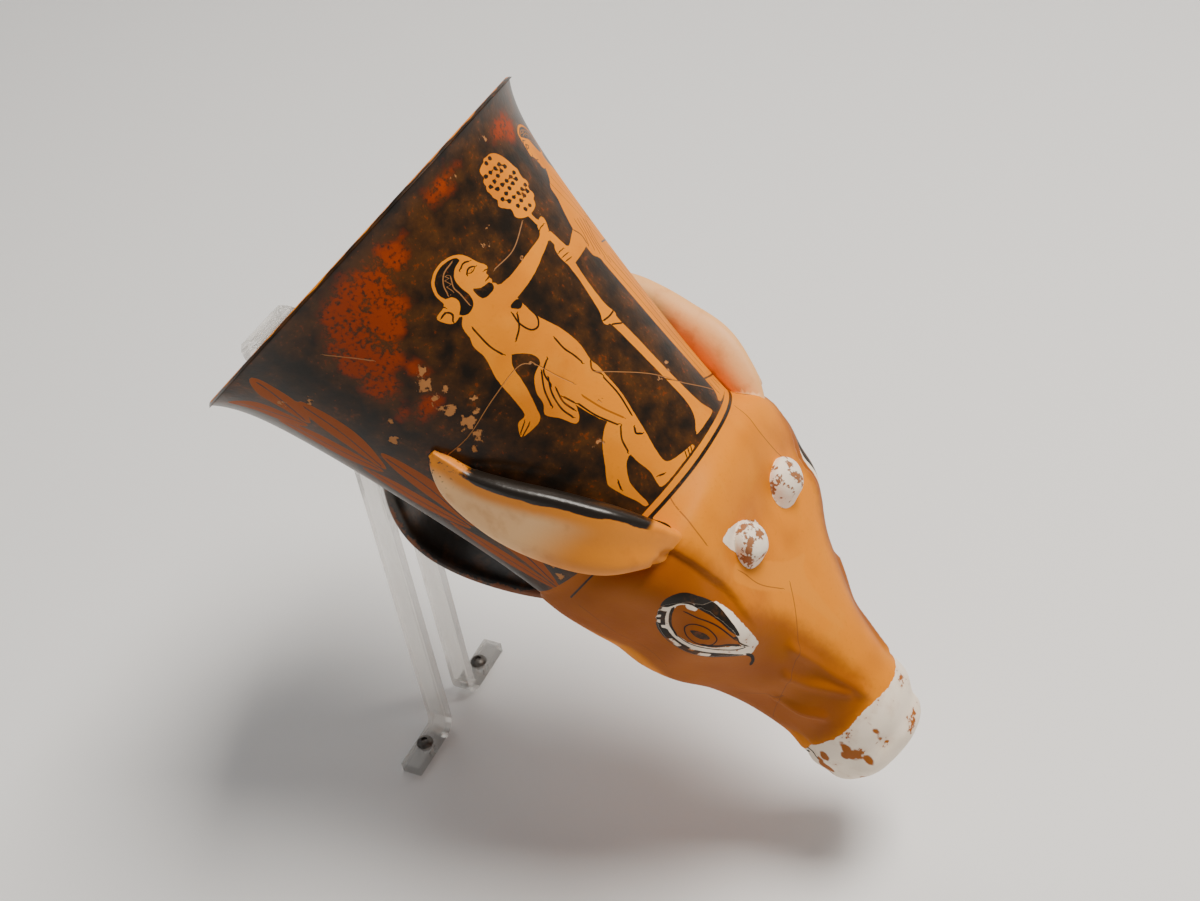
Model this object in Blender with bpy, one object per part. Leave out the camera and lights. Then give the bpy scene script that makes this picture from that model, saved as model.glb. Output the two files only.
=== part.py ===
"""A fired clay rhyton, a drinking vessel that ends in a calf's head, on a clear two-legged stand.

The vessel is modelled along its own axis: x runs from the rim to the muzzle, z to the forehead
and y to the animal's left. It is then tipped so that the muzzle points down. All sizes are metres.
"""

import math

import bmesh
import bpy
from mathutils import Vector

# The vessel
RIM_RADIUS = 0.061
NECK_RADIUS = 0.039
BOWL_DEPTH = 0.104
HEAD_LENGTH = 0.112
LIP_WALL = 0.0032
BOWL_WALL = 0.0045
HEAD_WALL = 0.006
MUZZLE_ROUNDING = 0.008
TIP_DOWN = math.radians(45)

# The ears, laid back along the bowl
EAR_ROOT = 0.116
EAR_REACH = 0.0655
EAR_WIDTH = 0.0215
EAR_THICKNESS = 0.012
EAR_ROOT_TURN = math.radians(45)
EAR_TIP_TURN = math.radians(77)

# The horn stumps
HORN_PLACE = 0.131
HORN_SPACING = 0.025
HORN_RADIUS = 0.0056
HORN_HEIGHT = 0.0065

# The strap handle under the throat
HANDLE_START = 0.041
HANDLE_END = 0.1185
HANDLE_REACH = 0.036
HANDLE_WIDTH = 0.022
HANDLE_THICKNESS = 0.005
HANDLE_LEAN = 0.35

# The clear stand and its two screws
RIM_HEIGHT = 0.201
LEG_SPREAD = 0.017
LEG_WIDTH = 0.007
LEG_THICKNESS = 0.004
LEG_CLEARANCE = 0.0008
FOOT_LENGTH = 0.0175
FOOT_BEND = 0.004
SADDLE_HEIGHT = 0.0045
ARM_WIDTH = 0.018
ARM_THICKNESS = 0.003
HOOK_DEPTH = 0.009
SCREW_FROM_LEG = 0.007
SCREW_RADIUS = 0.0016
SCREW_CLEARANCE = 0.0003
SCREW_HEAD_RADIUS = 0.0029
SCREW_HEAD_HEIGHT = 0.0016
FIT_GAP = 0.0003

COLUMNS = 50
BOWL_RINGS = 12
HEAD_RINGS = 26
CAP_RINGS = 4

# Head sections: share of the head's length, then top, bottom, half width and level of the
# widest point as shares of the neck radius, and the squareness of the top
HEAD_SECTIONS = [
    (0.000, 1.000, 1.000, 1.000, 0.00, 2.0),
    (0.071, 1.010, 0.975, 1.050, 0.15, 2.6),
    (0.161, 0.900, 0.960, 1.030, 0.28, 3.4),
    (0.241, 0.770, 0.970, 0.960, 0.33, 3.8),
    (0.321, 0.705, 0.970, 0.920, 0.31, 3.6),
    (0.411, 0.640, 0.935, 0.785, 0.23, 3.0),
    (0.527, 0.565, 0.820, 0.590, 0.10, 2.4),
    (0.643, 0.490, 0.720, 0.460, -0.05, 2.2),
    (0.759, 0.420, 0.660, 0.410, -0.15, 2.2),
    (0.857, 0.370, 0.660, 0.450, -0.20, 2.2),
    (0.929, 0.270, 0.650, 0.410, -0.23, 2.2),
]

# Relief on both sides of the head: share of the head's length, level and side as shares of the
# neck radius, then spread and height as shares of the neck radius
HEAD_RELIEF = [
    (0.295, 0.36, 0.85, 0.21, 0.060),
    (0.205, 0.62, 0.78, 0.16, 0.045),
    (0.330, 0.60, 0.70, 0.15, 0.035),
    (0.130, 0.15, 0.98, 0.24, -0.030),
    (0.450, 0.40, 0.62, 0.18, -0.040),
    (0.560, 0.05, 0.55, 0.16, 0.035),
    (0.700, -0.02, 0.42, 0.13, 0.030),
    (0.620, 0.30, 0.36, 0.14, -0.025),
    (0.420, -0.35, 0.74, 0.26, 0.035),
    (0.780, -0.40, 0.36, 0.12, -0.030),
    (0.905, 0.12, 0.24, 0.09, -0.045),
    (0.925, -0.10, 0.36, 0.12, 0.030),
]

# Ear stations: share of the reach, of the turn, of the thickness it stands off the bowl,
# then half width and half thickness as shares of the ear's width and thickness
EAR_STATIONS = [
    (0.00, 0.00, 0.25, 0.17, 0.28),
    (0.12, 0.16, 0.50, 0.30, 0.50),
    (0.27, 0.42, 0.65, 0.46, 0.60),
    (0.46, 0.72, 0.52, 0.51, 0.52),
    (0.64, 0.95, 0.38, 0.46, 0.45),
    (0.81, 1.08, 0.20, 0.33, 0.33),
    (0.95, 1.03, 0.10, 0.15, 0.21),
    (1.00, 1.00, 0.08, 0.05, 0.10),
]


def clear_scene():
    for old in list(bpy.data.objects):
        bpy.data.objects.remove(old, do_unlink=True)


def clay(name, colour, roughness):
    material = bpy.data.materials.new(name)
    material.use_nodes = True
    shader = material.node_tree.nodes["Principled BSDF"]
    shader.inputs["Base Color"].default_value = (*colour, 1)
    shader.inputs["Roughness"].default_value = roughness
    shader.inputs["Metallic"].default_value = 0
    return material


def clear_plastic():
    material = clay("clear plastic", (0.93, 0.91, 0.88), 0.05)
    shader = material.node_tree.nodes["Principled BSDF"]
    shader.inputs["Transmission Weight"].default_value = 1
    shader.inputs["IOR"].default_value = 1.49
    return material


def dark_steel():
    material = clay("dark steel", (0.12, 0.11, 0.11), 0.4)
    material.node_tree.nodes["Principled BSDF"].inputs["Metallic"].default_value = 1
    return material


def smooth_value(table, column, at):
    """One column of a table, read between its rows by a smooth curve."""
    rows = [(row[0], row[column]) for row in table]
    at = min(max(at, rows[0][0]), rows[-1][0])
    k = 0
    while k < len(rows) - 2 and at > rows[k + 1][0]:
        k += 1

    def slope(i):
        if i in (0, len(rows) - 1):
            return 0.0
        return (rows[i + 1][1] - rows[i - 1][1]) / (rows[i + 1][0] - rows[i - 1][0])

    step = rows[k + 1][0] - rows[k][0]
    t = (at - rows[k][0]) / step
    from_start = (2 * t + 1) * (1 - t) ** 2 * rows[k][1] + t * (1 - t) ** 2 * step * slope(k)
    from_end = t * t * (3 - 2 * t) * rows[k + 1][1] + t * t * (t - 1) * step * slope(k + 1)
    return from_start + from_end


def bowl_radius(along):
    """The trumpet profile: it flares slowly from the neck and fast at the lip."""
    x = min(max(along / BOWL_DEPTH, 0), 1)
    flare = 0.78 * (1 - x) ** 1.3 + 0.22 * math.exp(-x / 0.07)
    return NECK_RADIUS + (RIM_RADIUS - NECK_RADIUS) * flare


def wall_at(along):
    into_bowl = min(max(along / (0.15 * BOWL_DEPTH), 0), 1)
    into_head = min(max((along - BOWL_DEPTH) / (0.15 * HEAD_LENGTH), 0), 1)
    bowl = LIP_WALL + (BOWL_WALL - LIP_WALL) * into_bowl
    return bowl + (HEAD_WALL - BOWL_WALL) * into_head


def section(along, turn, shrink=1.0):
    """The level of the section's centre, and the distance from it to the skin at one turn."""
    if along <= BOWL_DEPTH:
        return 0.0, bowl_radius(along)
    share = (along - BOWL_DEPTH) / HEAD_LENGTH
    top, bottom, half, level, square = (
        smooth_value(HEAD_SECTIONS, column, share) for column in range(1, 6)
    )
    upper = math.cos(turn) >= 0
    rise = (top - level if upper else bottom + level) * NECK_RADIUS * shrink
    power = square if upper else 2.15
    sum_of_powers = abs(math.cos(turn) / rise) ** power
    sum_of_powers += abs(math.sin(turn) / (half * NECK_RADIUS * shrink)) ** power
    return level * NECK_RADIUS, sum_of_powers ** (-1 / power)


def relief(point):
    """How far the modelled features raise the skin of the head at a point."""
    share = (point.x - BOWL_DEPTH) / HEAD_LENGTH
    if share < 0:
        return 0.0
    height = 0.0
    for along, level, side, spread, rise in HEAD_RELIEF:
        centre = Vector((
            BOWL_DEPTH + along * HEAD_LENGTH,
            math.copysign(side * NECK_RADIUS, point.y),
            level * NECK_RADIUS,
        ))
        distance = (point - centre).length / (spread * NECK_RADIUS)
        height += rise * NECK_RADIUS * math.exp(-distance * distance)
    return height * min(share / 0.05, 1)


def skin_point(along, turn, depth=0.0, shrink=1.0):
    """A point at a depth under the outer skin; turn is measured from the forehead line."""
    centre, radius = section(along, turn, shrink)
    direction = Vector((0, -math.sin(turn), math.cos(turn)))
    point = Vector((along, 0, centre)) + direction * radius
    if depth == 0:
        return point + direction * relief(point)
    return point - direction * depth


def new_object(name, bm, material):
    bmesh.ops.recalc_face_normals(bm, faces=bm.faces)
    mesh = bpy.data.meshes.new(name)
    bm.to_mesh(mesh)
    bm.free()
    mesh.materials.append(material)
    mesh.shade_smooth()
    mesh.set_sharp_from_angle(angle=math.radians(40))
    made = bpy.data.objects.new(name, mesh)
    bpy.context.scene.collection.objects.link(made)
    return made


def loft(name, rings, material, start=None, end=None):
    """Closed solid through rings of as many points, each end closed flat or to a point."""
    bm = bmesh.new()
    loops = [[bm.verts.new(point) for point in ring] for ring in rings]
    count = len(loops[0])
    for here, there in zip(loops, loops[1:]):
        for i in range(count):
            j = (i + 1) % count
            bm.faces.new((here[i], here[j], there[j], there[i]))
    for loop, tip in ((loops[0], start), (loops[-1], end)):
        if tip is None:
            bm.faces.new(loop)
            continue
        apex = bm.verts.new(tip)
        for i in range(count):
            bm.faces.new((loop[i], loop[(i + 1) % count], apex))
    return new_object(name, bm, material)


def fuse(target, tool):
    """Unites a tool with the target; the tool stays as a hidden guide."""
    tool.hide_render = True
    tool.display_type = "WIRE"
    union = target.modifiers.new("fuse " + tool.name, "BOOLEAN")
    union.operation = "UNION"
    union.solver = "EXACT"
    union.object = tool


def turns(count):
    return [2 * math.pi * i / count for i in range(count)]


def outer_rings():
    """From the muzzle to the lip."""
    end = BOWL_DEPTH + HEAD_LENGTH - MUZZLE_ROUNDING
    rings = []
    for i in reversed(range(1, CAP_RINGS + 1)):
        angle = math.radians(80) * i / CAP_RINGS
        shrink = math.cos(angle) ** 0.8
        shift = Vector((MUZZLE_ROUNDING * math.sin(angle), 0, 0))
        rings.append([skin_point(end, turn, shrink=shrink) + shift for turn in turns(COLUMNS)])
    for i in reversed(range(1, HEAD_RINGS + 1)):
        along = BOWL_DEPTH + (end - BOWL_DEPTH) * i / HEAD_RINGS
        rings.append([skin_point(along, turn) for turn in turns(COLUMNS)])
    for i in reversed(range(1, BOWL_RINGS + 1)):
        along = BOWL_DEPTH * (i / BOWL_RINGS) ** 1.4
        rings.append([skin_point(along, turn) for turn in turns(COLUMNS)])
    return rings


def lip_rings():
    """The rounded edge of the rim, from outside to inside."""
    rings = []
    for share in (0.0, 0.3, 0.7, 1.0):
        radius = RIM_RADIUS - LIP_WALL * share
        along = 0.35 * LIP_WALL * (2 * share - 1) ** 2
        rings.append([
            Vector((along, -radius * math.sin(turn), radius * math.cos(turn)))
            for turn in turns(COLUMNS)
        ])
    return rings


def inner_rings():
    """From the lip down to the end of the hollow inside the muzzle."""
    end = BOWL_DEPTH + HEAD_LENGTH - MUZZLE_ROUNDING - HEAD_WALL
    bowl_steps, head_steps = BOWL_RINGS * 2 // 3, HEAD_RINGS // 3
    rings = []
    for i in range(1, bowl_steps + 1):
        along = BOWL_DEPTH * (i / bowl_steps) ** 1.3
        rings.append([skin_point(along, turn, wall_at(along)) for turn in turns(COLUMNS)])
    for i in range(1, head_steps + 1):
        along = BOWL_DEPTH + (end - BOWL_DEPTH) * i / head_steps
        rings.append([skin_point(along, turn, wall_at(along)) for turn in turns(COLUMNS)])
    floor = [point.copy() for point in rings[-1]]
    middle = sum(floor, Vector()) / COLUMNS
    for angle in (math.radians(35), math.radians(65)):
        shift = Vector((MUZZLE_ROUNDING * 0.8 * math.sin(angle), 0, 0))
        rings.append([middle + (point - middle) * math.cos(angle) + shift for point in floor])
    return rings


def make_vessel(material):
    """Bowl and head as one hollow shell, open at the rim."""
    outer, inner = outer_rings(), inner_rings()
    nose = sum(outer[0], Vector()) / COLUMNS + Vector((MUZZLE_ROUNDING * 0.02, 0, 0))
    floor = sum(inner[-1], Vector()) / COLUMNS + Vector((MUZZLE_ROUNDING * 0.08, 0, 0))
    return loft("rhyton", outer + lip_rings() + inner, material, nose, floor)


def on_bowl(along, turn, off):
    """A point off the bowl's skin, with the neck's radius carried on past the neck."""
    radius = bowl_radius(along) + off
    return Vector((along, -radius * math.sin(turn), radius * math.cos(turn)))


def ear_ring(share, side, count=14):
    """One section across the ear: plump below, dished on its face."""
    turn_share, lift, half, thick = (smooth_value(EAR_STATIONS, c, share) for c in range(1, 5))
    along = EAR_ROOT - share * EAR_REACH
    turn = EAR_ROOT_TURN + (EAR_TIP_TURN - EAR_ROOT_TURN) * turn_share
    ahead = smooth_value(EAR_STATIONS, 1, share + 0.02) - smooth_value(EAR_STATIONS, 1, share - 0.02)
    radius = bowl_radius(along) + lift * EAR_THICKNESS
    forward = Vector((-0.04 * EAR_REACH, ahead * (EAR_TIP_TURN - EAR_ROOT_TURN) * radius))
    across = Vector((-forward.y, forward.x)).normalized()
    ring = []
    for angle in turns(count):
        width = half * EAR_WIDTH * math.cos(angle)
        height = thick * EAR_THICKNESS * math.sin(angle)
        if height > 0:
            height *= 1 - 0.28 * math.sin(angle) ** 3
        place = along + across.x * width
        bend = turn + across.y * width / radius
        point = on_bowl(place, bend, lift * EAR_THICKNESS + height)
        point.y *= side
        ring.append(point)
    return ring


def make_ear(name, side, material):
    steps = 15
    rings = [ear_ring(i / steps, side) for i in range(steps + 1)]
    return loft(name, rings, material)


def make_horn(name, side, material):
    """A short rounded stump that stands on the forehead."""
    share = (HORN_PLACE - BOWL_DEPTH) / HEAD_LENGTH
    level = smooth_value(HEAD_SECTIONS, 1, share) * NECK_RADIUS
    rings = []
    for height, width in ((-0.3, 1.12), (0.15, 1.04), (0.5, 0.98), (0.78, 0.78), (0.95, 0.42)):
        centre = Vector((
            HORN_PLACE - 0.25 * height * HORN_HEIGHT,
            side * (HORN_SPACING / 2 + 0.2 * height * HORN_HEIGHT),
            level + height * HORN_HEIGHT,
        ))
        radius = HORN_RADIUS * width
        rings.append([
            centre + Vector((math.cos(turn), math.sin(turn), 0)) * radius for turn in turns(14)
        ])
    return loft(name, rings, material)


def handle_line(x):
    """The strap's middle line at x from -1, at the bowl, to 1, at the jaw."""
    along = (HANDLE_START + HANDLE_END) / 2 + x * (HANDLE_END - HANDLE_START) / 2
    ends = []
    for place in (HANDLE_START, HANDLE_END):
        centre, radius = section(place, math.pi)
        ends.append(radius - centre - wall_at(place) / 2)
    base = ends[0] + (ends[1] - ends[0]) * (x + 1) / 2
    return Vector((along, 0, -base - HANDLE_REACH * (1 - x * x) ** (1 - HANDLE_LEAN * x)))


def handle_ring(x):
    """A rounded flat section square to the strap's line."""
    here = handle_line(x)
    forward = handle_line(min(x + 0.02, 1)) - handle_line(max(x - 0.02, -1))
    outward = Vector((forward.z, 0, -forward.x)).normalized()
    flare = 1 + 0.12 * abs(x) ** 4
    ring = []
    for angle in turns(12):
        side = math.copysign(abs(math.cos(angle)) ** 0.5, math.cos(angle))
        rise = math.copysign(abs(math.sin(angle)) ** 0.8, math.sin(angle))
        offset = Vector((0, side * HANDLE_WIDTH * flare / 2, 0))
        ring.append(here + offset + outward * rise * HANDLE_THICKNESS / 2)
    return ring


def into_wall(point):
    """Moves a point straight in to the middle of the vessel's wall."""
    centre, _ = section(point.x, math.pi)
    turn = math.atan2(-point.y, point.z - centre)
    return skin_point(point.x, turn, wall_at(point.x) / 2)


def make_handle(material):
    steps = 20
    places = [-1 + 2 * i / steps for i in range(steps + 1)]
    rings = [handle_ring(x) for x in places[1:-1]]
    first = [into_wall(point) for point in handle_ring(places[0])]
    last = [into_wall(point) for point in handle_ring(places[-1])]
    return loft("handle", [first] + rings + [last], material)


def to_world(point, rim_centre):
    """From the vessel's own axes to the tipped vessel."""
    cosine, sine = math.cos(TIP_DOWN), math.sin(TIP_DOWN)
    return rim_centre + Vector((
        point.x * cosine + point.z * sine,
        point.y,
        -point.x * sine + point.z * cosine,
    ))


def legs_behind_rim():
    """How far behind the rim's centre the legs stand, so that they clear the handle."""
    back = 0.0
    for i in range(1, 40):
        for point in handle_ring(-1 + i / 20):
            back = min(back, to_world(point, Vector()).x)
    return LEG_CLEARANCE + LEG_WIDTH / 2 - back


def throat_point(along, off):
    """A point off the bowl's outer skin on the throat line, on the skin's own normal."""
    step = BOWL_DEPTH / 200
    slope = (bowl_radius(along + step) - bowl_radius(max(along - step, 0))) / (2 * step)
    normal = Vector((-slope, 0, -1)).normalized()
    return Vector((along, 0, -bowl_radius(along))) + normal * off, normal


def arm_line():
    """Middle line of the arm with its normals: up the throat wall, over the lip and inside."""
    outside = FIT_GAP + ARM_THICKNESS / 2
    strap_edge = HANDLE_THICKNESS / 2 + BOWL_WALL
    lip_turn = LIP_WALL * 0.35
    line = []
    steps = 9
    for i in range(steps):
        along = (HANDLE_START - strap_edge) * (1 - i / steps) + lip_turn * i / steps
        line.append(throat_point(along, outside))
    bow = RIM_RADIUS - math.sqrt(RIM_RADIUS ** 2 - (ARM_WIDTH / 2) ** 2)
    inside = outside + bow
    _, normal = throat_point(lip_turn, 0)
    edge = Vector((-abs(normal.z), 0, -abs(normal.x)))
    lip = Vector((lip_turn, 0, -RIM_RADIUS + LIP_WALL / 2))
    for i in range(7):
        angle = math.pi * i / 6
        direction = normal * math.cos(angle) + edge * math.sin(angle)
        reach = LIP_WALL * 0.55 + outside + bow * i / 6 + FIT_GAP
        line.append((lip + direction * reach, direction))
    for share in (0.45, 0.7, 1.0):
        along = HOOK_DEPTH * share
        _, normal = throat_point(along, 0)
        inner = Vector((along, 0, -bowl_radius(along) + wall_at(along)))
        line.append((inner - normal * inside, -normal))
    return line


def band(name, line, width, thickness, material, across=(0, 1, 0)):
    """A flat strip along a line of points with normals."""
    across = Vector(across) * width / 2
    rings = []
    for point, normal in line:
        face = normal * thickness / 2
        rings.append([point + face + across, point + face - across,
                      point - face - across, point - face + across])
    return loft(name, rings, material)


def make_leg(name, side, top, material):
    """A strip that stands upright and turns out into a foot, with a hole for its screw."""
    leg_y = side * LEG_SPREAD / 2
    middle = LEG_THICKNESS / 2
    out = Vector((0, side, 0))
    up = Vector((0, 0, 1))
    line = [(Vector((0, leg_y + side * (FOOT_BEND + FOOT_LENGTH), middle)), up)]
    for i in range(6):
        angle = math.pi / 2 * i / 5
        centre = Vector((0, leg_y + side * FOOT_BEND, middle + FOOT_BEND))
        direction = -up * math.cos(angle) - out * math.sin(angle)
        line.append((centre + direction * FOOT_BEND, -direction))
    line.append((Vector((0, leg_y, top)), out))
    leg = band(name, line, LEG_WIDTH, LEG_THICKNESS, material, (1, 0, 0))
    overrun = LEG_THICKNESS / 4
    hole = cylinder(name + " hole", SCREW_RADIUS + SCREW_CLEARANCE, screw_y(side), -overrun,
                    LEG_THICKNESS + overrun, material)
    hole.hide_render = True
    hole.display_type = "WIRE"
    cut = leg.modifiers.new("screw hole", "BOOLEAN")
    cut.operation = "DIFFERENCE"
    cut.solver = "EXACT"
    cut.object = hole
    return leg


def screw_y(side):
    return side * (LEG_SPREAD / 2 + FOOT_BEND + SCREW_FROM_LEG)


def circle(radius, y, z, count=20):
    return [Vector((radius * math.cos(a), y + radius * math.sin(a), z)) for a in turns(count)]


def cylinder(name, radius, y, low, high, material):
    return loft(name, [circle(radius, y, low), circle(radius, y, high)], material)


def make_screw(name, side, material):
    """A domed screw that ends level with the foot's underside."""
    y = screw_y(side)
    seat = LEG_THICKNESS + FIT_GAP
    rings = [circle(SCREW_RADIUS, y, FIT_GAP), circle(SCREW_RADIUS, y, seat)]
    for width, height in ((1.0, 0.0), (1.0, 0.3), (0.86, 0.72), (0.55, 0.95), (0.3, 1.0)):
        rings.append(circle(SCREW_HEAD_RADIUS * width, y, seat + SCREW_HEAD_HEIGHT * height))
    rings.append(circle(SCREW_HEAD_RADIUS * 0.28, y, seat + SCREW_HEAD_HEIGHT * 0.45))
    return loft(name, rings, material)


def make_stand(rim_centre, material):
    """Two legs, a saddle that joins their tops, and an arm that hooks over the rim."""
    line = []
    for point, normal in arm_line():
        line.append((to_world(point, rim_centre), to_world(normal, Vector())))
    stand = band("stand", line, ARM_WIDTH, ARM_THICKNESS, material)
    reach = LEG_WIDTH / 2 + FIT_GAP
    seat = []
    for (a, _), (b, _) in zip(line, line[1:]):
        for x in (-reach, reach):
            if b.x <= x <= a.x:
                seat.append(Vector((x, 0, a.z + (b.z - a.z) * (a.x - x) / (a.x - b.x))))
    seat.sort(key=lambda point: point.x)
    if seat[-1].x < reach - FIT_GAP:
        arm_end = line[0][0].lerp(line[1][0], 0.15)
        seat += [arm_end, Vector((reach, 0, arm_end.z - ARM_THICKNESS))]
    floor = min(point.z for point in seat) - SADDLE_HEIGHT
    half = (LEG_SPREAD + LEG_THICKNESS) / 2 + FIT_GAP
    rings = []
    for y in (-half, half):
        bottom = [Vector((seat[-1].x, y, floor)), Vector((seat[0].x, y, floor))]
        rings.append([Vector((point.x, y, point.z)) for point in seat] + bottom)
    fuse(stand, loft("saddle", rings, material))
    for name, side in (("right leg", -1), ("left leg", 1)):
        fuse(stand, make_leg(name, side, floor + SADDLE_HEIGHT / 2, material))
    return stand


def main():
    clear_scene()
    fired_clay = clay("fired clay", (0.62, 0.26, 0.055), 0.35)
    plastic = clear_plastic()
    steel = dark_steel()
    rim_centre = Vector((legs_behind_rim(), 0, RIM_HEIGHT))
    rhyton = make_vessel(fired_clay)
    parts = [make_handle(fired_clay)]
    for name, side in (("right", 1), ("left", -1)):
        parts.append(make_ear(name + " ear", side, fired_clay))
        parts.append(make_horn(name + " horn", -side, fired_clay))
    for part in parts:
        fuse(rhyton, part)
    for piece in [rhyton] + parts:
        piece.location = rim_centre
        piece.rotation_euler = (0, TIP_DOWN, 0)
    make_stand(rim_centre, plastic)
    make_screw("screw_right", -1, steel)
    make_screw("screw_left", 1, steel)


main()
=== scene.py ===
import math

import bmesh
import bpy
import numpy as np
from mathutils import Matrix, Vector


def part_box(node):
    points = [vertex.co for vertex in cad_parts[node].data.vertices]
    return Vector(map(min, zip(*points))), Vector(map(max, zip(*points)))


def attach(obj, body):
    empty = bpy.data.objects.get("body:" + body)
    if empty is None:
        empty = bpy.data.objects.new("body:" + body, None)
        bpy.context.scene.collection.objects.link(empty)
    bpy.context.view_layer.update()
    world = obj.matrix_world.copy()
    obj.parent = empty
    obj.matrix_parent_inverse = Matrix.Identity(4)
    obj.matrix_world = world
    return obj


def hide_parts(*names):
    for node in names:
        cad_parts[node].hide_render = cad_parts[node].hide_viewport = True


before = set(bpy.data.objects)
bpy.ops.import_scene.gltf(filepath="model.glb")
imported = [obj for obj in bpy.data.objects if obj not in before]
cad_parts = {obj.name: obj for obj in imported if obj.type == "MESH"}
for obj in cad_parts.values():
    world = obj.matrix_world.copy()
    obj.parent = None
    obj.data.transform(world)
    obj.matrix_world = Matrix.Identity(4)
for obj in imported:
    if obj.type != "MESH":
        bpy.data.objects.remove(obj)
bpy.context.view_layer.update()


# The fired body: one drinking horn of clay, thrown as a trumpet bowl and ending in a calf's head.
# The head was pressed in a mould and luted on, the ears, the horn stumps and the strap handle were
# stuck on by hand, and all of it was fired as one piece.
rim_radius, neck_radius, bowl_depth, head_length = 0.061, 0.039, 0.104, 0.112
lip_wall, bowl_wall, head_wall, muzzle_rounding = 0.0032, 0.0045, 0.006, 0.008
long_flare, flare_power, lip_flare, lip_spread = 0.78, 1.3, 0.22, 0.07
jaw_squareness, wall_change = 2.15, 0.15
slope_down = math.sqrt(0.5)
body_low, body_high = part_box("rhyton")
lip_reach = (rim_radius - 0.35 * lip_wall) * slope_down
rim_centre = np.array([body_low.x + lip_reach, 0, body_high.z - lip_reach])

# Share of the head's length, then top, bottom, half width and level of the widest point in neck
# radii, and how square the forehead is
head_sections = np.array([
    (0.000, 1.000, 1.000, 1.000, 0.00, 2.0),
    (0.071, 1.010, 0.975, 1.050, 0.15, 2.6),
    (0.161, 0.900, 0.960, 1.030, 0.28, 3.4),
    (0.241, 0.770, 0.970, 0.960, 0.33, 3.8),
    (0.321, 0.705, 0.970, 0.920, 0.31, 3.6),
    (0.411, 0.640, 0.935, 0.785, 0.23, 3.0),
    (0.527, 0.565, 0.820, 0.590, 0.10, 2.4),
    (0.643, 0.490, 0.720, 0.460, -0.05, 2.2),
    (0.759, 0.420, 0.660, 0.410, -0.15, 2.2),
    (0.857, 0.370, 0.660, 0.450, -0.20, 2.2),
    (0.929, 0.270, 0.650, 0.410, -0.23, 2.2),
])

# Brow, eyeball, cheek, nostril and the hollows between them: share of the head's length, level
# and side in neck radii, then spread and height in neck radii
head_swells = [
    (0.295, 0.36, 0.85, 0.21, 0.060),
    (0.205, 0.62, 0.78, 0.16, 0.045),
    (0.330, 0.60, 0.70, 0.15, 0.035),
    (0.130, 0.15, 0.98, 0.24, -0.030),
    (0.450, 0.40, 0.62, 0.18, -0.040),
    (0.560, 0.05, 0.55, 0.16, 0.035),
    (0.700, -0.02, 0.42, 0.13, 0.030),
    (0.620, 0.30, 0.36, 0.14, -0.025),
    (0.420, -0.35, 0.74, 0.26, 0.035),
    (0.780, -0.40, 0.36, 0.12, -0.030),
    (0.905, 0.12, 0.24, 0.09, -0.045),
    (0.925, -0.10, 0.36, 0.12, 0.030),
]


def bowl_radius(along):
    x = np.clip(np.asarray(along, float) / bowl_depth, 0, 1)
    flare = long_flare * (1 - x) ** flare_power + lip_flare * np.exp(-x / lip_spread)
    return neck_radius + (rim_radius - neck_radius) * flare


def smooth_value(table, column, at):
    """A column of a table read between its rows by a smooth curve that starts and ends level."""
    places, values = table[:, 0], table[:, column]
    at = np.clip(at, places[0], places[-1])
    slopes = np.zeros(len(places))
    slopes[1:-1] = (values[2:] - values[:-2]) / (places[2:] - places[:-2])
    k = np.clip(np.searchsorted(places, at) - 1, 0, len(places) - 2)
    step = places[k + 1] - places[k]
    t = (at - places[k]) / step
    from_start = (2 * t + 1) * (1 - t) ** 2 * values[k] + t * (1 - t) ** 2 * step * slopes[k]
    from_end = t * t * (3 - 2 * t) * values[k + 1] + t * t * (t - 1) * step * slopes[k + 1]
    return from_start + from_end


def section(along, turn, shrink=1.0):
    """Level of the section's centre, and how far the skin is from it at a turn from the forehead."""
    share = (along - bowl_depth) / head_length
    top, bottom, half, level, square = (smooth_value(head_sections, c, share) for c in range(1, 6))
    upper = np.cos(turn) >= 0
    rise = np.where(upper, top - level, bottom + level) * neck_radius * shrink
    power = np.where(upper, square, jaw_squareness)
    total = np.abs(np.cos(turn) / rise) ** power
    total = total + np.abs(np.sin(turn) / (half * neck_radius * shrink)) ** power
    on_bowl = along <= bowl_depth
    centre = np.where(on_bowl, 0, level * neck_radius)
    return centre, np.where(on_bowl, bowl_radius(along), total ** (-1 / power))


def swell(points):
    """How far the modelled features stand out of the head."""
    share = (points[..., 0] - bowl_depth) / head_length
    height = np.zeros(share.shape)
    for along, level, side, spread, rise in head_swells:
        centre = np.stack(np.broadcast_arrays(
            bowl_depth + along * head_length,
            np.copysign(side * neck_radius, points[..., 1]),
            level * neck_radius,
        ), -1)
        distance = np.linalg.norm(points - centre, axis=-1) / (spread * neck_radius)
        height += rise * neck_radius * np.exp(-distance * distance)
    return np.where(share < 0, 0, height * np.minimum(share / 0.05, 1))


def skin(along, turn, depth=0.0, shrink=1.0):
    """Points of the outer skin, or at a depth under it, in the body's own axes."""
    along, turn = np.broadcast_arrays(np.asarray(along, float), np.asarray(turn, float))
    centre, radius = section(along, turn, shrink)
    outward = np.stack([np.zeros(turn.shape), -np.sin(turn), np.cos(turn)], -1)
    middle = np.stack([along, np.zeros(turn.shape), centre], -1)
    points = middle + outward * radius[..., None]
    if np.all(depth == 0):
        return points + outward * swell(points)[..., None]
    return points - outward * np.asarray(depth)[..., None]


def wall_at(along):
    into_bowl = np.clip(along / (wall_change * bowl_depth), 0, 1)
    into_head = np.clip((along - bowl_depth) / (wall_change * head_length), 0, 1)
    wall = lip_wall + (bowl_wall - lip_wall) * into_bowl
    return wall + (head_wall - bowl_wall) * into_head


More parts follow.
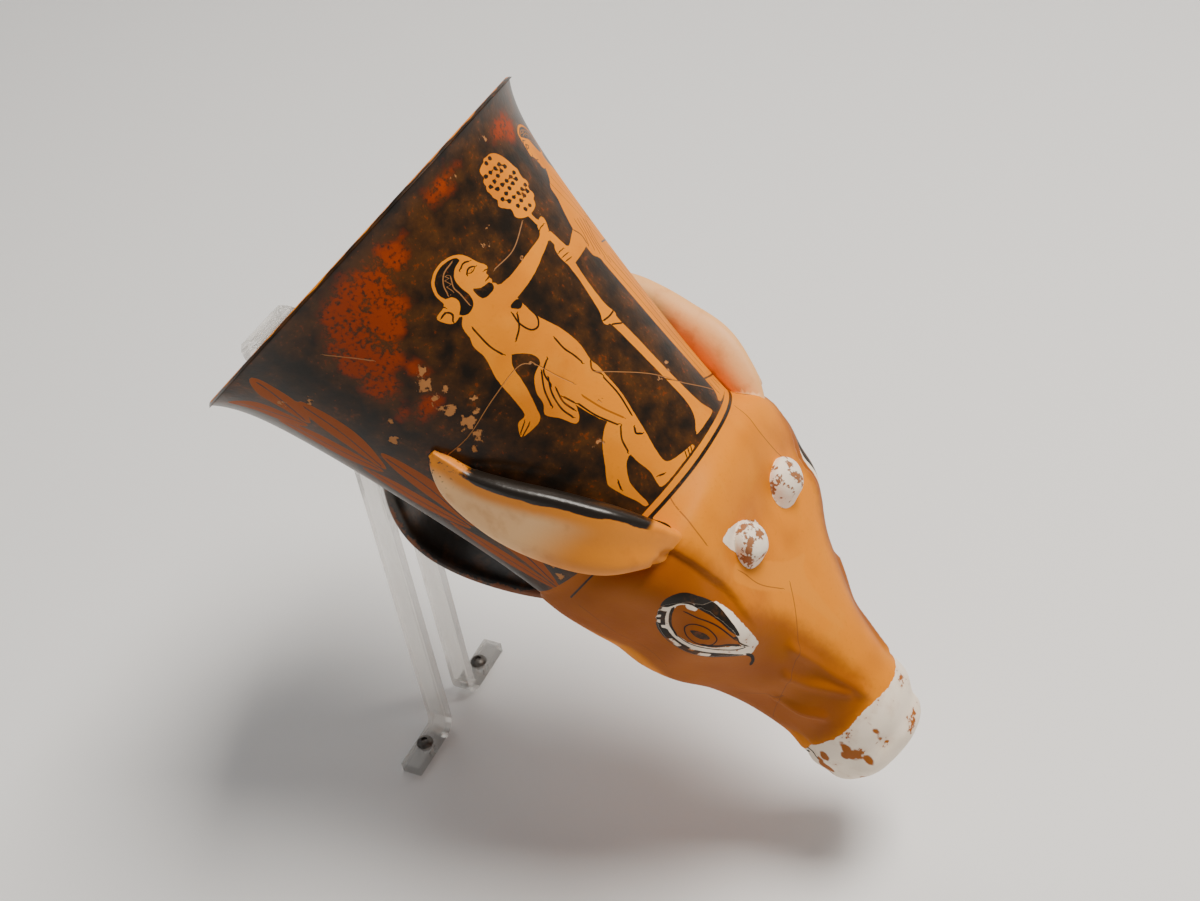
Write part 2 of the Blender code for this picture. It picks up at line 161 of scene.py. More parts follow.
def to_world(points):
    """Tips the body's own axes down by half a right angle, with the rim's centre in its place."""
    x, y, z = points[..., 0], points[..., 1], points[..., 2]
    return rim_centre + np.stack([(x + z) * slope_down, y, (z - x) * slope_down], -1)


def zip_rings(first, second, start, next_start):
    """Faces between two rings of turns, which may have unlike numbers of points."""
    if len(first) == len(second):
        count = len(first)
        return [
            (start + i, start + (i + 1) % count, next_start + (i + 1) % count, next_start + i)
            for i in range(count)
        ]

    def around(ring, k):
        return ring[k % len(ring)] + 2 * math.pi * (k // len(ring))

    faces, i, j = [], 0, 0
    while i < len(first) or j < len(second):
        a, b = start + i % len(first), next_start + j % len(second)
        if j >= len(second) or (i < len(first) and around(first, i + 1) <= around(second, j + 1)):
            faces.append((a, start + (i + 1) % len(first), b))
            i += 1
        else:
            faces.append((a, next_start + (j + 1) % len(second), b))
            j += 1
    return faces


def shell(name, rings, tips, slots):
    """A closed mesh through rings, each a pair of turns and points, with a tip at both ends."""
    points, faces, start = [rings[0][1]], [], 0
    for (turns, _), (next_turns, next_ring) in zip(rings, rings[1:]):
        faces += zip_rings(turns, next_turns, start, start + len(turns))
        start += len(turns)
        points.append(next_ring)
    total = start + len(rings[-1][0])
    ends = ((rings[0][0], 0, total, False), (rings[-1][0], start, total + 1, True))
    for turns, base, tip, flip in ends:
        for i in range(len(turns)):
            edge = (base + i, base + (i + 1) % len(turns))
            faces.append((*(edge if flip else edge[::-1]), tip))
    points += [np.array([tip]) for tip in tips]
    return mesh_object(name, np.concatenate(points), faces, slots)


def mesh_object(name, points, faces, slots):
    mesh = bpy.data.meshes.new(name)
    mesh.from_pydata(points.tolist(), [], faces)
    for slot in slots:
        mesh.materials.append(slot)
    mesh.shade_smooth()
    made = bpy.data.objects.new(name, mesh)
    bpy.context.scene.collection.objects.link(made)
    work = bmesh.new()
    work.from_mesh(mesh)
    bmesh.ops.recalc_face_normals(work, faces=work.faces)
    work.to_mesh(mesh)
    work.free()
    return made


def even_turns(count, start=0.0):
    return start + 2 * math.pi * np.arange(count) / count


# Turns in degrees from the forehead: points lie closest where the picture and the eyes are painted
painted_turns = np.radians(np.concatenate([
    np.linspace(-72, 126, 224, endpoint=False),
    np.linspace(126, 288, 104, endpoint=False),
]))
head_turns = np.radians(np.concatenate([
    np.linspace(-72, -38, 30, endpoint=False),
    np.linspace(-38, 38, 42, endpoint=False),
    np.linspace(38, 112, 106, endpoint=False),
    np.linspace(112, 248, 60, endpoint=False),
    np.linspace(248, 288, 34, endpoint=False),
]))
inner_turns = even_turns(80, painted_turns[0])
head_end = bowl_depth + head_length - muzzle_rounding
eye_start, eye_end = 0.119, 0.157

body_rings = []
for angle in np.radians(np.linspace(82, 8, 9)):
    ring = skin(head_end, head_turns, shrink=math.cos(angle) ** 0.8)
    body_rings.append((head_turns, ring + np.array([muzzle_rounding * math.sin(angle), 0, 0])))
for along in np.concatenate([
    np.linspace(head_end, eye_end, 42)[:-1],
    np.linspace(eye_end, eye_start, 62)[:-1],
    np.linspace(eye_start, bowl_depth, 13)[:-1],
]):
    body_rings.append((head_turns, skin(along, head_turns)))
depths = np.linspace(0, bowl_depth, 2000)
depth_steps = np.hypot(np.diff(depths), np.diff(bowl_radius(depths)))
wall_run = np.concatenate([[0], np.cumsum(depth_steps)])
for run in np.linspace(wall_run[-1], 0, 158)[:-1]:
    body_rings.append((painted_turns, skin(np.interp(run, wall_run, depths), painted_turns)))
for share in np.linspace(0, 1, 8):
    radius = rim_radius - lip_wall * share
    turns = painted_turns if share < 0.5 else inner_turns
    drop = np.full(len(turns), 0.35 * lip_wall * (2 * share - 1) ** 2)
    body_rings.append((turns, np.stack([drop, -radius * np.sin(turns), radius * np.cos(turns)], -1)))
inner_end = head_end - head_wall
for along in np.concatenate([
    bowl_depth * np.linspace(0.05, 1, 26) ** 1.3,
    np.linspace(bowl_depth, inner_end, 22)[1:],
]):
    inner_depth = np.full(len(inner_turns), wall_at(along))
    body_rings.append((inner_turns, skin(along, inner_turns, inner_depth)))
floor_ring = body_rings[-1][1]
floor_middle = floor_ring.mean(0)
for angle in np.radians([25, 50, 70]):
    shift = np.array([muzzle_rounding * 0.8 * math.sin(angle), 0, 0])
    narrowed = floor_middle + (floor_ring - floor_middle) * math.cos(angle)
    body_rings.append((inner_turns, narrowed + shift))
nose_tip = body_rings[0][1].mean(0) + np.array([muzzle_rounding * 0.02, 0, 0])
floor_tip = body_rings[-1][1].mean(0) + np.array([muzzle_rounding * 0.08, 0, 0])

clay_names = ("painted_clay", "ear_clay", "horn_slip", "handle_glaze")
clay_finishes = [bpy.data.materials.new(name) for name in clay_names]
painted_clay, ear_clay, horn_slip, handle_glaze = clay_finishes
body = shell("rhyton_body", [(turns, to_world(ring)) for turns, ring in body_rings],
             to_world(np.stack([nose_tip, floor_tip])), clay_finishes)


# The ears: two leaves of clay laid back along the bowl, each with a dished face and a rolled upper
# edge. They were joined while wet, so they run into the wall without a step.
ear_root, ear_reach, ear_width, ear_thickness = 0.116, 0.0655, 0.0215, 0.012
ear_root_turn, ear_tip_turn, ear_slope_step = math.radians(45), math.radians(77), 0.02
ear_dish, ear_roll, roll_turn, roll_spread = 0.44, 0.0011, 0.42, 0.34

# Share of the reach, of the turn, of the thickness it stands off the bowl, then half width and
# half thickness as shares of the ear's width and thickness. The first row lies inside the wall.
ear_stations = np.array([
    (-0.14, -0.10, -0.22, 0.05, 0.06),
    (0.00, 0.00, 0.19, 0.17, 0.26),
    (0.12, 0.16, 0.50, 0.30, 0.50),
    (0.27, 0.42, 0.65, 0.46, 0.60),
    (0.46, 0.72, 0.52, 0.51, 0.52),
    (0.64, 0.95, 0.38, 0.46, 0.45),
    (0.81, 1.08, 0.20, 0.33, 0.33),
    (0.95, 1.03, 0.10, 0.15, 0.21),
    (1.00, 1.00, 0.08, 0.05, 0.10),
])


def ear_middle(share):
    return ear_root_turn + (ear_tip_turn - ear_root_turn) * smooth_value(ear_stations, 1, share)


def ear_ring(share, side, turns):
    lift, half, thick = (smooth_value(ear_stations, c, share) for c in (2, 3, 4))
    along = ear_root - share * ear_reach
    radius = bowl_radius(along) + lift * ear_thickness
    ahead = (ear_middle(share + ear_slope_step) - ear_middle(share - ear_slope_step)) * radius
    forward = np.array([-2 * ear_slope_step * ear_reach, ahead])
    across = np.array([-forward[1], forward[0]]) / np.linalg.norm(forward)
    width = half * ear_width * np.cos(turns)
    rise = thick * ear_thickness * np.sin(turns)
    rise = np.where(rise > 0, rise * (1 - ear_dish * np.sin(turns) ** 3), rise)
    rolled = np.exp(-((turns - roll_turn) / roll_spread) ** 2)
    rise = rise + ear_roll * min(half / 0.4, 1) * rolled
    place = along + across[0] * width
    bend = ear_middle(share) + across[1] * width / radius
    reach = bowl_radius(place) + lift * ear_thickness + rise
    return np.stack([place, -side * reach * np.sin(bend), reach * np.cos(bend)], -1)


def strip(name, rings, finish):
    """A closed mesh through rings of as many points each, with a flat face at both ends."""
    count = len(rings[0])
    faces = []
    for r in range(len(rings) - 1):
        faces += zip_rings(range(count), range(count), r * count, (r + 1) * count)
    faces += [tuple(range(count)), tuple(range((len(rings) - 1) * count, len(rings) * count))]
    made = mesh_object(name, to_world(np.concatenate(rings)), faces, clay_finishes)
    slot = clay_finishes.index(finish)
    made.data.polygons.foreach_set("material_index", [slot] * len(made.data.polygons))
    return made


additions = []
for name, side in (("right", 1), ("left", -1)):
    ear_shares = np.linspace(ear_stations[0, 0], 1, 66)
    ear_rings = [ear_ring(share, side, even_turns(44)) for share in ear_shares]
    additions.append(strip(name + "_ear", ear_rings, ear_clay))


# The horn stumps: two short rounded buds on the forehead, modelled by hand and dipped in white
# slip that ran over their edges.
horn_place, horn_spacing, horn_radius, horn_height = 0.131, 0.025, 0.0056, 0.0065
forehead = smooth_value(head_sections, 1, (horn_place - bowl_depth) / head_length) * neck_radius
horn_turns = even_turns(40)

# Share of the way up, then height and width as shares of the stump's own
horn_profile = np.array([
    (0.00, -0.30, 1.12),
    (0.25, 0.15, 1.04),
    (0.50, 0.50, 0.98),
    (0.75, 0.78, 0.78),
    (1.00, 0.95, 0.42),
])
for name, side in (("right", -1), ("left", 1)):
    horn_rings = []
    for step in np.linspace(0, 1, 17):
        height, width = smooth_value(horn_profile, 1, step), smooth_value(horn_profile, 2, step)
        lumps = 1 + 0.03 * np.sin(3 * horn_turns + side) + 0.02 * np.sin(5 * horn_turns + height)
        centre = np.array([
            horn_place - 0.25 * height * horn_height,
            side * (horn_spacing / 2 + 0.2 * height * horn_height),
            forehead + height * horn_height,
        ])
        circle = np.stack([np.cos(horn_turns), np.sin(horn_turns), np.zeros(len(horn_turns))], -1)
        horn_rings.append(centre + circle * (horn_radius * width * lumps)[:, None])
    additions.append(strip(name + "_horn", horn_rings, horn_slip))


# The handle: one strap of clay bent from the throat of the bowl to the jaw, with rounded edges. Its
# section keeps its size along the strap and widens a little at both ends, which were pressed into
# the wall while it was soft.
handle_start, handle_end, handle_reach, handle_lean = 0.041, 0.1185, 0.036, 0.35
handle_width, handle_thickness, handle_flare, handle_slope_step = 0.022, 0.005, 0.12, 0.02


def handle_line(x):
    """The strap's middle line for x from -1 at the bowl to 1 at the jaw."""
    along = (handle_start + handle_end) / 2 + x * (handle_end - handle_start) / 2
    ends = []
    for place in (handle_start, handle_end):
        centre, radius = section(np.array(place), np.array(math.pi))
        ends.append(float(radius - centre - wall_at(place) / 2))
    base = ends[0] + (ends[1] - ends[0]) * (x + 1) / 2
    return np.stack([along, 0 * x, -base - handle_reach * (1 - x * x) ** (1 - handle_lean * x)], -1)


def handle_ring(x, turns):
    here = handle_line(np.array(x))
    before, after = max(x - handle_slope_step, -1), min(x + handle_slope_step, 1)
    forward = handle_line(np.array(after)) - handle_line(np.array(before))
    outward = np.array([forward[2], 0, -forward[0]]) / np.linalg.norm(forward)
    across = np.sign(np.cos(turns)) * np.abs(np.cos(turns)) ** 0.5
    rise = np.sign(np.sin(turns)) * np.abs(np.sin(turns)) ** 0.8
    half_width = (1 + handle_flare * abs(x) ** 4) * handle_width / 2
    ring = here + outward * (rise * handle_thickness / 2)[:, None]
    return ring + np.array([0, 1, 0]) * (across * half_width)[:, None]


def into_wall(ring):
    """Moves a ring straight in to the middle of the body's wall."""
    centre, _ = section(ring[:, 0], np.full(len(ring), math.pi))
    turn = np.arctan2(-ring[:, 1], ring[:, 2] - centre)
    return skin(ring[:, 0], turn, wall_at(ring[:, 0]) / 2)


strap_turns = even_turns(36)
strap_rings = [handle_ring(x, strap_turns) for x in np.linspace(-1, 1, 75)]
strap_rings[0], strap_rings[-1] = into_wall(strap_rings[0]), into_wall(strap_rings[-1])
additions.append(strip("handle", strap_rings, handle_glaze))

# All of them become one skin with the body, as the wet clay did
for addition in additions:
    union = body.modifiers.new("join " + addition.name, "BOOLEAN")
    union.operation = "UNION"
    union.solver = "EXACT"
    union.material_mode = "INDEX"
    union.object = addition
graph = bpy.context.evaluated_depsgraph_get()
joined = bpy.data.meshes.new_from_object(body.evaluated_get(graph))
body.modifiers.clear()
body.data = joined
for addition in additions:
    bpy.data.objects.remove(addition)


# The painted scene: black slip laid round figures that keep the colour of the clay, then fine black
# and thinned brown lines brushed over them. It is drawn here in millimetres, across the wall and up
# from the ground line, and every point of the skin gets its distance to what is drawn.
coordinates = np.empty(len(body.data.vertices) * 3)
body.data.vertices.foreach_get("co", coordinates)
offsets = coordinates.reshape(-1, 3) - rim_centre
along = (offsets[:, 0] - offsets[:, 2]) * slope_down
level = (offsets[:, 0] + offsets[:, 2]) * slope_down
section_level = section(along, np.zeros(len(along)))[0]
turn = np.arctan2(-offsets[:, 1], level - section_level)
side_turn = np.abs(turn)
millimetre = 0.001
along_mm = along / millimetre
radius_mm = bowl_radius(along) / millimetre
skin_radius = section(along, turn)[1]
is_inside = np.hypot(level - section_level, offsets[:, 1]) < skin_radius - 0.6 * wall_at(along)
is_inside = is_inside & (along < head_end)

picture_start, picture_middle, picture_end = np.radians([-78, 40, 150])
leaf_middle = math.radians(100)
ground_line, bowl_paint_end = 103.0, 0.108

# A layer follows distances up to the reach, and a point that is put off it has none
out_of_reach, off_layer = 4.0, 1000


def through(drawn, closed, sharp=False):
    """The drawn points, or a smooth run of points through them."""
    drawn = np.array(drawn, float)
    if closed:
        drawn = np.vstack([drawn, drawn[:1]])
    if sharp or len(drawn) < 3:
        return drawn
    before = drawn[-2] if closed else 2 * drawn[0] - drawn[1]
    after = drawn[1] if closed else 2 * drawn[-1] - drawn[-2]
    knots = np.vstack([before, drawn, after])
    run = []
    for a, b, c, d in zip(knots, knots[1:], knots[2:], knots[3:]):
        for t in np.linspace(0, 1, 6)[:-1]:
            run.append(0.5 * (2 * b + (c - a) * t + (2 * a - 5 * b + 4 * c - d) * t * t
                              + (3 * b - a - 3 * c + d) * t ** 3))
    return np.vstack([run, drawn[-1:]])


class Layer:
    """One field over the skin, filled with the distance in millimetres to what is drawn in it."""

    def __init__(self, across, up):
        self.places = np.stack([across, up], -1)
        self.gaps = np.full(len(across), out_of_reach)
        self.sides = np.ones(len(across))
        self.weights = np.full(len(across), 0.2)

    def measure(self, line):
        """The places near a line, their distance to it, its side, and whether it encloses them."""
        low, high = line.min(0) - out_of_reach, line.max(0) + out_of_reach
        near = np.where(np.all((self.places > low) & (self.places < high), axis=1))[0]
        x, y = self.places[near].T
        gap, side, within = np.full(len(near), np.inf), np.ones(len(near)), np.zeros(len(near), bool)
        for (x0, y0), (x1, y1) in zip(line, line[1:]):
            run, rise = x1 - x0, y1 - y0
            share = np.clip(((x - x0) * run + (y - y0) * rise) / max(run * run + rise * rise, 1e-9), 0, 1)
            here = np.hypot(x - x0 - share * run, y - y0 - share * rise)
            side = np.where(here < gap, np.sign(run * (y - y0) - rise * (x - x0)), side)
            gap = np.minimum(gap, here)
            if rise:
                within ^= ((y0 > y) != (y1 > y)) & (x < run * (y - y0) / rise + x0)
        return near, gap, side, within

    def area(self, drawn, sharp=False, hole=False, grow=0.0):
        near, gap, _, within = self.measure(through(drawn, True, sharp))
        gap = np.where(within, -gap, gap) - grow
        if hole:
            self.gaps[near] = np.maximum(self.gaps[near], -gap)
        else:
            self.gaps[near] = np.minimum(self.gaps[near], gap)

    def dot(self, across, up, radius, stretch=1.0):
        gap = np.hypot((self.places[:, 0] - across) / stretch, self.places[:, 1] - up) - radius
        self.gaps = np.minimum(self.gaps, gap)

    def line(self, *drawn, width=0.5, sharp=False):
        near, gap, side, _ = self.measure(through(drawn, False, sharp))
        closer = gap < self.gaps[near]
        near = near[closer]
        self.gaps[near] = gap[closer]
        self.sides[near] = side[closer]
        self.weights[near] = width / 2

    def brushed(self):
        """Distance, signed distance and half width, for a shader to draw a fine line from."""
        return self.gaps, self.gaps * np.where(self.sides < 0, -1, 1), self.weights


def keep(name, *fields):
    """Stores up to three fields on the points of the body."""
    fields += (np.zeros(len(along)),) * (3 - len(fields))
    stored = body.data.attributes.new(name, "FLOAT_VECTOR", "POINT")
    stored.data.foreach_set("vector", np.stack(fields, -1).astype(np.float32).ravel())


unpainted = is_inside | (along > bowl_paint_end)
beside = (turn < picture_start) | (turn > picture_end)
across = np.where(unpainted | beside, off_layer, -(turn - picture_middle) * radius_mm)
upward = ground_line - along_mm
near_side = np.where(turn > 0, 1.0, 0.0)

# The clay and dark areas, then the black, thinned and light lines. A layer keeps its nearest line
# alone, so lines closer than two millimetres to each other are drawn in different layers.
clay = Layer(across, upward)
dark = Layer(across, upward)
ink = [Layer(across, upward) for _ in range(4)]
thin = [Layer(across, upward) for _ in range(2)]
light = Layer(across, upward)

# One plain profile for both heads, with the brow, nose, lips and chin of a drawing book, and plain
# gathered hair, in head heights
plain_profile = [(.18, 0), (.33, .01), (.4, .05), (.41, .12), (.37, .17), (.41, .21), (.4, .25),
                 (.42, .29), (.41, .34), (.52, .41), (.45, .58), (.4, .76), (.33, .87), (.17, .97),
                 (-.08, 1), (-.32, .9), (-.43, .68), (-.4, .42), (-.3, .2), (-.22, 0)]
plain_hair = [(.3, .84), (.2, .92), (-.05, .97), (-.34, .9), (-.6, .74), (-.66, .52), (-.52, .34),
              (-.28, .28), (-.14, .42), (-.06, .64), (.12, .74)]


def head_shape(centre, chin, height, facing, shape):
    return [(centre + facing * x * height, chin + y * height) for x, y in shape]


# A bearded reveller with a horse's tail and ears, who turns back and holds the staff's neck
clay.area([(2, 70.5), (.2, 67), (.6, 61), (3.8, 56), (7.2, 52.2), (8, 49.2), (5.8, 46), (5, 42), (5.4, 37),
           (8, 33), (16.5, 35), (17.6, 39), (18.7, 44), (18.2, 50), (16.4, 56), (15.9, 61), (16.2, 67),
           (14.5, 70), (8, 71)])
clay.area([(5.4, 39), (5.8, 34), (7.3, 27), (8.8, 22.5), (6.6, 17), (5.9, 12), (6.2, 7), (5.2, 3.2),
           (5.6, 1.7), (12, 1.6), (19.5, 1.6), (20.2, 2.4), (16, 3.4), (11.3, 5.2), (11.6, 9.5),
           (13.4, 15), (15, 20.5), (16.8, 27), (17.4, 33), (17.2, 38), (11, 41)])
clay.area([(7.5, 24.5), (3, 21.6), (-.4, 17.5), (-3.4, 13.9), (-3.9, 12.2), (-3, 8), (-1.9, 4.4),
           (-1.5, 1.8), (-.3, 1.8), (0, 6), (.6, 9.4), (3.4, 13.2), (6.2, 14.6), (9.5, 18), (9.5, 23)])
clay.area([(4.6, 66), (1.4, 67.2), (-.9, 64), (-1, 59.8), (-3, 54), (-3.9, 47.5), (-4.9, 42.2),
           (-7.7, 41.9), (-9.9, 38.9), (-8.6, 38.3), (-3.4, 38.2), (-1.4, 41.6), (.9, 48), (2.1, 53),
           (4.6, 56), (6, 61)])
clay.area([(14, 69), (20, 68.8), (27, 69.2), (34.3, 69.6), (36.5, 71.8), (39.8, 72.6), (40.2, 71.2),
           (38.6, 69), (36.6, 68), (34.8, 66.9), (31, 66), (24, 64.4), (17, 63.9), (13, 64.5)])
clay.area([(-1.9, 75.6), (1.2, 76.2), (4.2, 78), (4.6, 73), (.6, 71.4), (-1.4, 73.2)])
clay.area(head_shape(8.6, 68.6, 15.5, 1, plain_profile))
clay.area([(3, 71.6), (6, 73), (13, 71), (14.5, 68.6), (8, 67.6), (3, 69)])
clay.area([(7.9, 48), (4.2, 47.2), (1.4, 44), (.4, 40.6), (-1.4, 38.2), (.6, 34.6), (2.2, 30.6),
           (4.4, 31.4), (6, 35.4), (5.2, 39), (6.6, 43.4), (9, 46)])
dark.area([(2.6, 72), (3.2, 76), (2.7, 79.2), (4.3, 82), (7.4, 83.4), (10.6, 83.1), (12.6, 82), (12.6, 81),
           (10.4, 80.6), (8.4, 79), (7.8, 76.4), (8, 73.6), (7, 71.2), (4.4, 70.4)])
dark.area([(-2, 75.6), (1.2, 76.2), (4, 76.8), (5, 74.4), (2.6, 72.2), (-1.4, 73)], hole=True)
dark.area([(9.6, 73.8), (11.4, 72.4), (13.6, 72), (14.2, 71.4), (13.8, 70.1), (12.2, 69.7), (9.6, 70.4)])
dark.area([(12.8, 63.7), (16, 63.7), (15.9, 61.9), (14.4, 61.4), (13.5, 62.4)])
light.line((4.4, 77.6), (5.4, 80), (7.6, 81.8), (10.8, 82.2), width=.34)
light.line((6.2, 72), (6.6, 75.4), (6.6, 77.6), (8, 79.8), width=.34)
ink[0].line((-.9, 74.8), (.6, 74.9), (1.5, 73.4), (.4, 72.2))
ink[0].line((11.2, 79.4), (12.8, 79.9), (14.2, 79.2), width=.45)
ink[1].line((11.5, 77.5), (12.8, 78.1), (14.2, 77.4), width=.45)
ink[2].line((11.8, 77.1), (12.8, 76.7), (13.8, 77), width=.3)
dark.dot(12.8, 77.4, .45)
ink[0].line((15.4, 74.7), (16, 74.4), width=.35)
ink[1].line((14, 72.7), (15.4, 72.9), width=.4)
ink[0].line((2.3, 67), (1.9, 61), (2.6, 57))
ink[0].line((7.8, 57), (10.5, 58.4), (12.8, 61))
ink[1].line((12, 62), (11.4, 59), (12.2, 55.8), (14.2, 54.9), (16, 56.8), (16.1, 60))
ink[0].line((15, 49.5), (14.7, 46), (15.2, 43), (15.4, 40))
ink[0].line((9.4, 47.6), (6.4, 46), (5.3, 42.4))
ink[1].line((17.3, 38.5), (15.8, 36.6), (16.8, 34), width=.5)
ink[0].line((6.5, 33.5), (7.4, 28), (9.5, 22))
ink[1].line((16.4, 33), (15.9, 27), (14.2, 21), width=.5)
thin[0].line((8.8, 34), (10, 28), (12, 22))
ink[0].line((12, 17.8), (11.2, 16.6), (12.2, 15.4), width=.6)
ink[0].line((9.7, 21), (7.4, 18.5), (6.2, 15.2))
ink[0].line((5.2, 37.8), (6, 34.6), width=.5)
ink[2].line((6, 46.4), (3.2, 42.8), (1.4, 38.6))
ink[3].line((6, 44), (3.8, 40.6), (2.6, 36), (3, 32.4))
ink[1].line((5.4, 40.6), (4.2, 37), (4.6, 33.4))
ink[0].line((-9, 39.7), (-6.4, 40.9), width=.35)
ink[1].line((-9.3, 38.7), (-5.9, 39.6), width=.35)
for toe in range(3):
    ink[toe].line((16.2 + toe * 1.2, 1.7), (16.8 + toe * 1.2, 2.8 - toe * .2), width=.35)
ink[0].line((7, 4.4), (8.2, 3.7), width=.5)
ink[0].line((-2.3, 9.8), (-1.5, 11.6), width=.5)
ink[3].line((34.6, 70.2), (36.8, 70.8), (38.4, 70.6), width=.3)

# The staff: a giant fennel stalk with one joint, a flared foot and a head of ivy leaves
clay.area([(36.4, 75.6), (37.9, 75.6), (37.8, 72.2), (36.5, 72.2)], sharp=True)
clay.area([(35.9, 68.6), (38.6, 68.4), (38.9, 64.2), (36.1, 64.2)], sharp=True)
clay.area([(34.6, 59.5), (33.4, 54), (31.4, 47.5), (30.4, 44.6), (28.6, 42.2), (28.9, 40.8), (30.2, 39.6),
           (30.2, 30), (29.9, 18), (29.4, 11), (27.6, 6.6), (24.2, 3.9), (23.6, 2.9), (29, 2.6), (33.8, 2.5),
           (34.2, 3.6), (33, 8), (33, 20), (33.5, 32), (33.6, 39.6), (34.4, 41.2), (34, 45), (35.2, 52),
           (37.2, 59.5)])
ink[0].line((29.3, 42.3), (31.6, 41.8), (34.1, 41.7), width=.5)
ink[1].line((30.4, 39.8), (31.8, 38.9), (33.3, 37.8), width=.5)
ivy_head = [(35, 92), (38.2, 92.8), (42, 93), (44.8, 90.8), (46.1, 86), (45, 81), (43, 77.4), (41, 75.3),
            (36, 75.3), (33, 77.4), (33.8, 79.8), (31.4, 82.3), (33, 84.4), (32.3, 87.4), (34.4, 89.2)]
clay.area(ivy_head)
for lobe in range(13):
    angle = 2 * math.pi * lobe / 13
    clay.dot(39.3 + 5.9 * math.sin(angle), 84.2 + 7.9 * math.cos(angle), 1.25)
ivy_middle = 39.2
for row in range(8):
    height = 76.9 + row * 2.15
    half = 6.2 - 0.075 * (height - 84.4) ** 2
    for spot in range(6):
        place = ivy_middle + (spot - 2.5) * 2.25 + (row % 2 - 0.5) * 1.1
        if abs(place - ivy_middle) < half:
            dark.dot(place, height + 0.35 * math.sin(3.1 * place), 0.66, 1.2)

# A woman in a long belted dress, who grips the staff from the other side
clay.area([(34.2, 62.2), (35.2, 64.6), (37.4, 65.4), (39, 64), (39.8, 61.9), (47, 63.6), (51, 62),
           (47, 58.3), (38.2, 57.8), (36, 58.4), (34.4, 58.8)])
clay.area([(47, 63.5), (49.2, 67.6), (52.2, 71.8), (53.4, 75), (56.6, 76.6), (60.4, 79.2), (63, 80.4),
           (67.4, 79), (71.4, 75.4), (73.4, 70), (74.4, 62), (71.6, 54), (70.4, 46), (71.2, 34),
           (72.4, 18), (72.2, 6), (72.6, 1.4), (42, 1.4), (43.4, 5), (44.4, 14), (45.2, 26), (46.1, 38),
           (46.9, 50), (47.2, 52.8), (45.4, 55), (45.8, 58), (46.6, 60.5)])
her_head = (63.6, 79.3, 12.6, -1)
clay.area(head_shape(*her_head, plain_profile))
clay.area(head_shape(*her_head, plain_hair), grow=0.7)
dark.area(head_shape(*her_head, plain_hair))
for number, feature, width in (
    (0, [(.25, .72), (.34, .75), (.4, .7)], .4),
    (1, [(.26, .6), (.34, .65), (.41, .59)], .4),
    (2, [(.28, .57), (.34, .545), (.4, .57)], .3),
    (0, [(.45, .39), (.48, .37)], .3),
    (1, [(.33, .25), (.4, .26)], .35),
):
    ink[number].line(*head_shape(*her_head, feature), width=width)
dark.dot(59.3, 86.8, .4)
for strand in (
    [(.24, .87), (0, .91), (-.3, .83), (-.52, .66)],
    [(.12, .8), (-.1, .8), (-.32, .68), (-.5, .5)],
    [(-.08, .66), (-.22, .58), (-.34, .46)],
):
    light.line(*head_shape(*her_head, strand), width=.3)
ink[0].line((43.6, 8.9), (50, 7), (58, 5.3), (66, 4), (72, 3.4), width=.55)
ink[0].line((57, 54.6), (64, 53.6), (71.4, 52.4), width=.5)
ink[1].line((35.2, 63), (37.4, 62.6), width=.3)
ink[2].line((35, 61.4), (37.4, 61), width=.3)
ink[3].line((35, 60), (37, 59.6), width=.3)
ink[0].line((46.8, 63.4), (48.2, 60.8), (47.4, 58.4), width=.4)
for fold in range(5):
    bend = 1.9 * fold
    layer = thin[fold % 2]
    layer.line((47.4 + bend / 2, 57.6 - bend), (50 + bend / 2, 60.6 - bend / 2),
               (51.4 + bend, 64.5 - bend / 3), width=.4)
    layer.line((73.6 - bend / 2, 58.6 - bend), (71 - bend / 2, 61.4 - bend / 2),
               (69.6 - bend, 65 - bend / 3), width=.4)
for fold in range(7):
    top, foot = 49.4 + 3.3 * fold, 46.6 + 3.9 * fold
    sway = 0.6 * math.sin(2.3 * fold)
    thin[fold % 2].line((top, 51.5 - .6 * (fold % 3)), (top - .6 + sway, 36), (foot + 1 - sway, 22),
                        (foot, 9.6 + fold % 2), width=.34 + .12 * (fold % 2))
for fold in range(4):
    thin[fold % 2].line((55 + 4 * fold, 77 - .5 * fold), (56.4 + 3.6 * fold, 70), (57.4 + 3.2 * fold, 63),
                        (58 + 3 * fold, 56), width=.3)
for fold in range(9):
    place = 44.6 + 3.2 * fold
    ink[1 + fold % 2].line((place, 6.6 - .35 * fold), (place - .3, 3), width=.3)

# Scratches through the black ground, and the old cracks
for crack in (
    [(-33, 49.6), (-20, 48.8), (-8, 51), (3, 52), (6.4, 49)],
    [(6.2, 50.4), (8, 43), (9.6, 38)],
    [(16, 35.6), (20, 31.4), (28, 22.6), (34, 14), (43, 5)],
    [(17.5, 73), (25, 72.6), (33.4, 75.4)],
    [(-29, 90), (-24, 84), (-21, 80)],
):
    light.line(*crack, width=.26)
ink[2].line((-6.6, 86.6), (-2.4, 81.4), (1.4, 76), width=.4)
ink[2].line((29.6, 19.4), (33, 15.4), width=.3)

# Upright chains of pointed leaves under both ears, where the picture ends
leaf_across = np.where(unpainted, off_layer, -(side_turn - leaf_middle) * radius_mm)
leaves = Layer(leaf_across, upward)
ribs = Layer(leaf_across, upward)

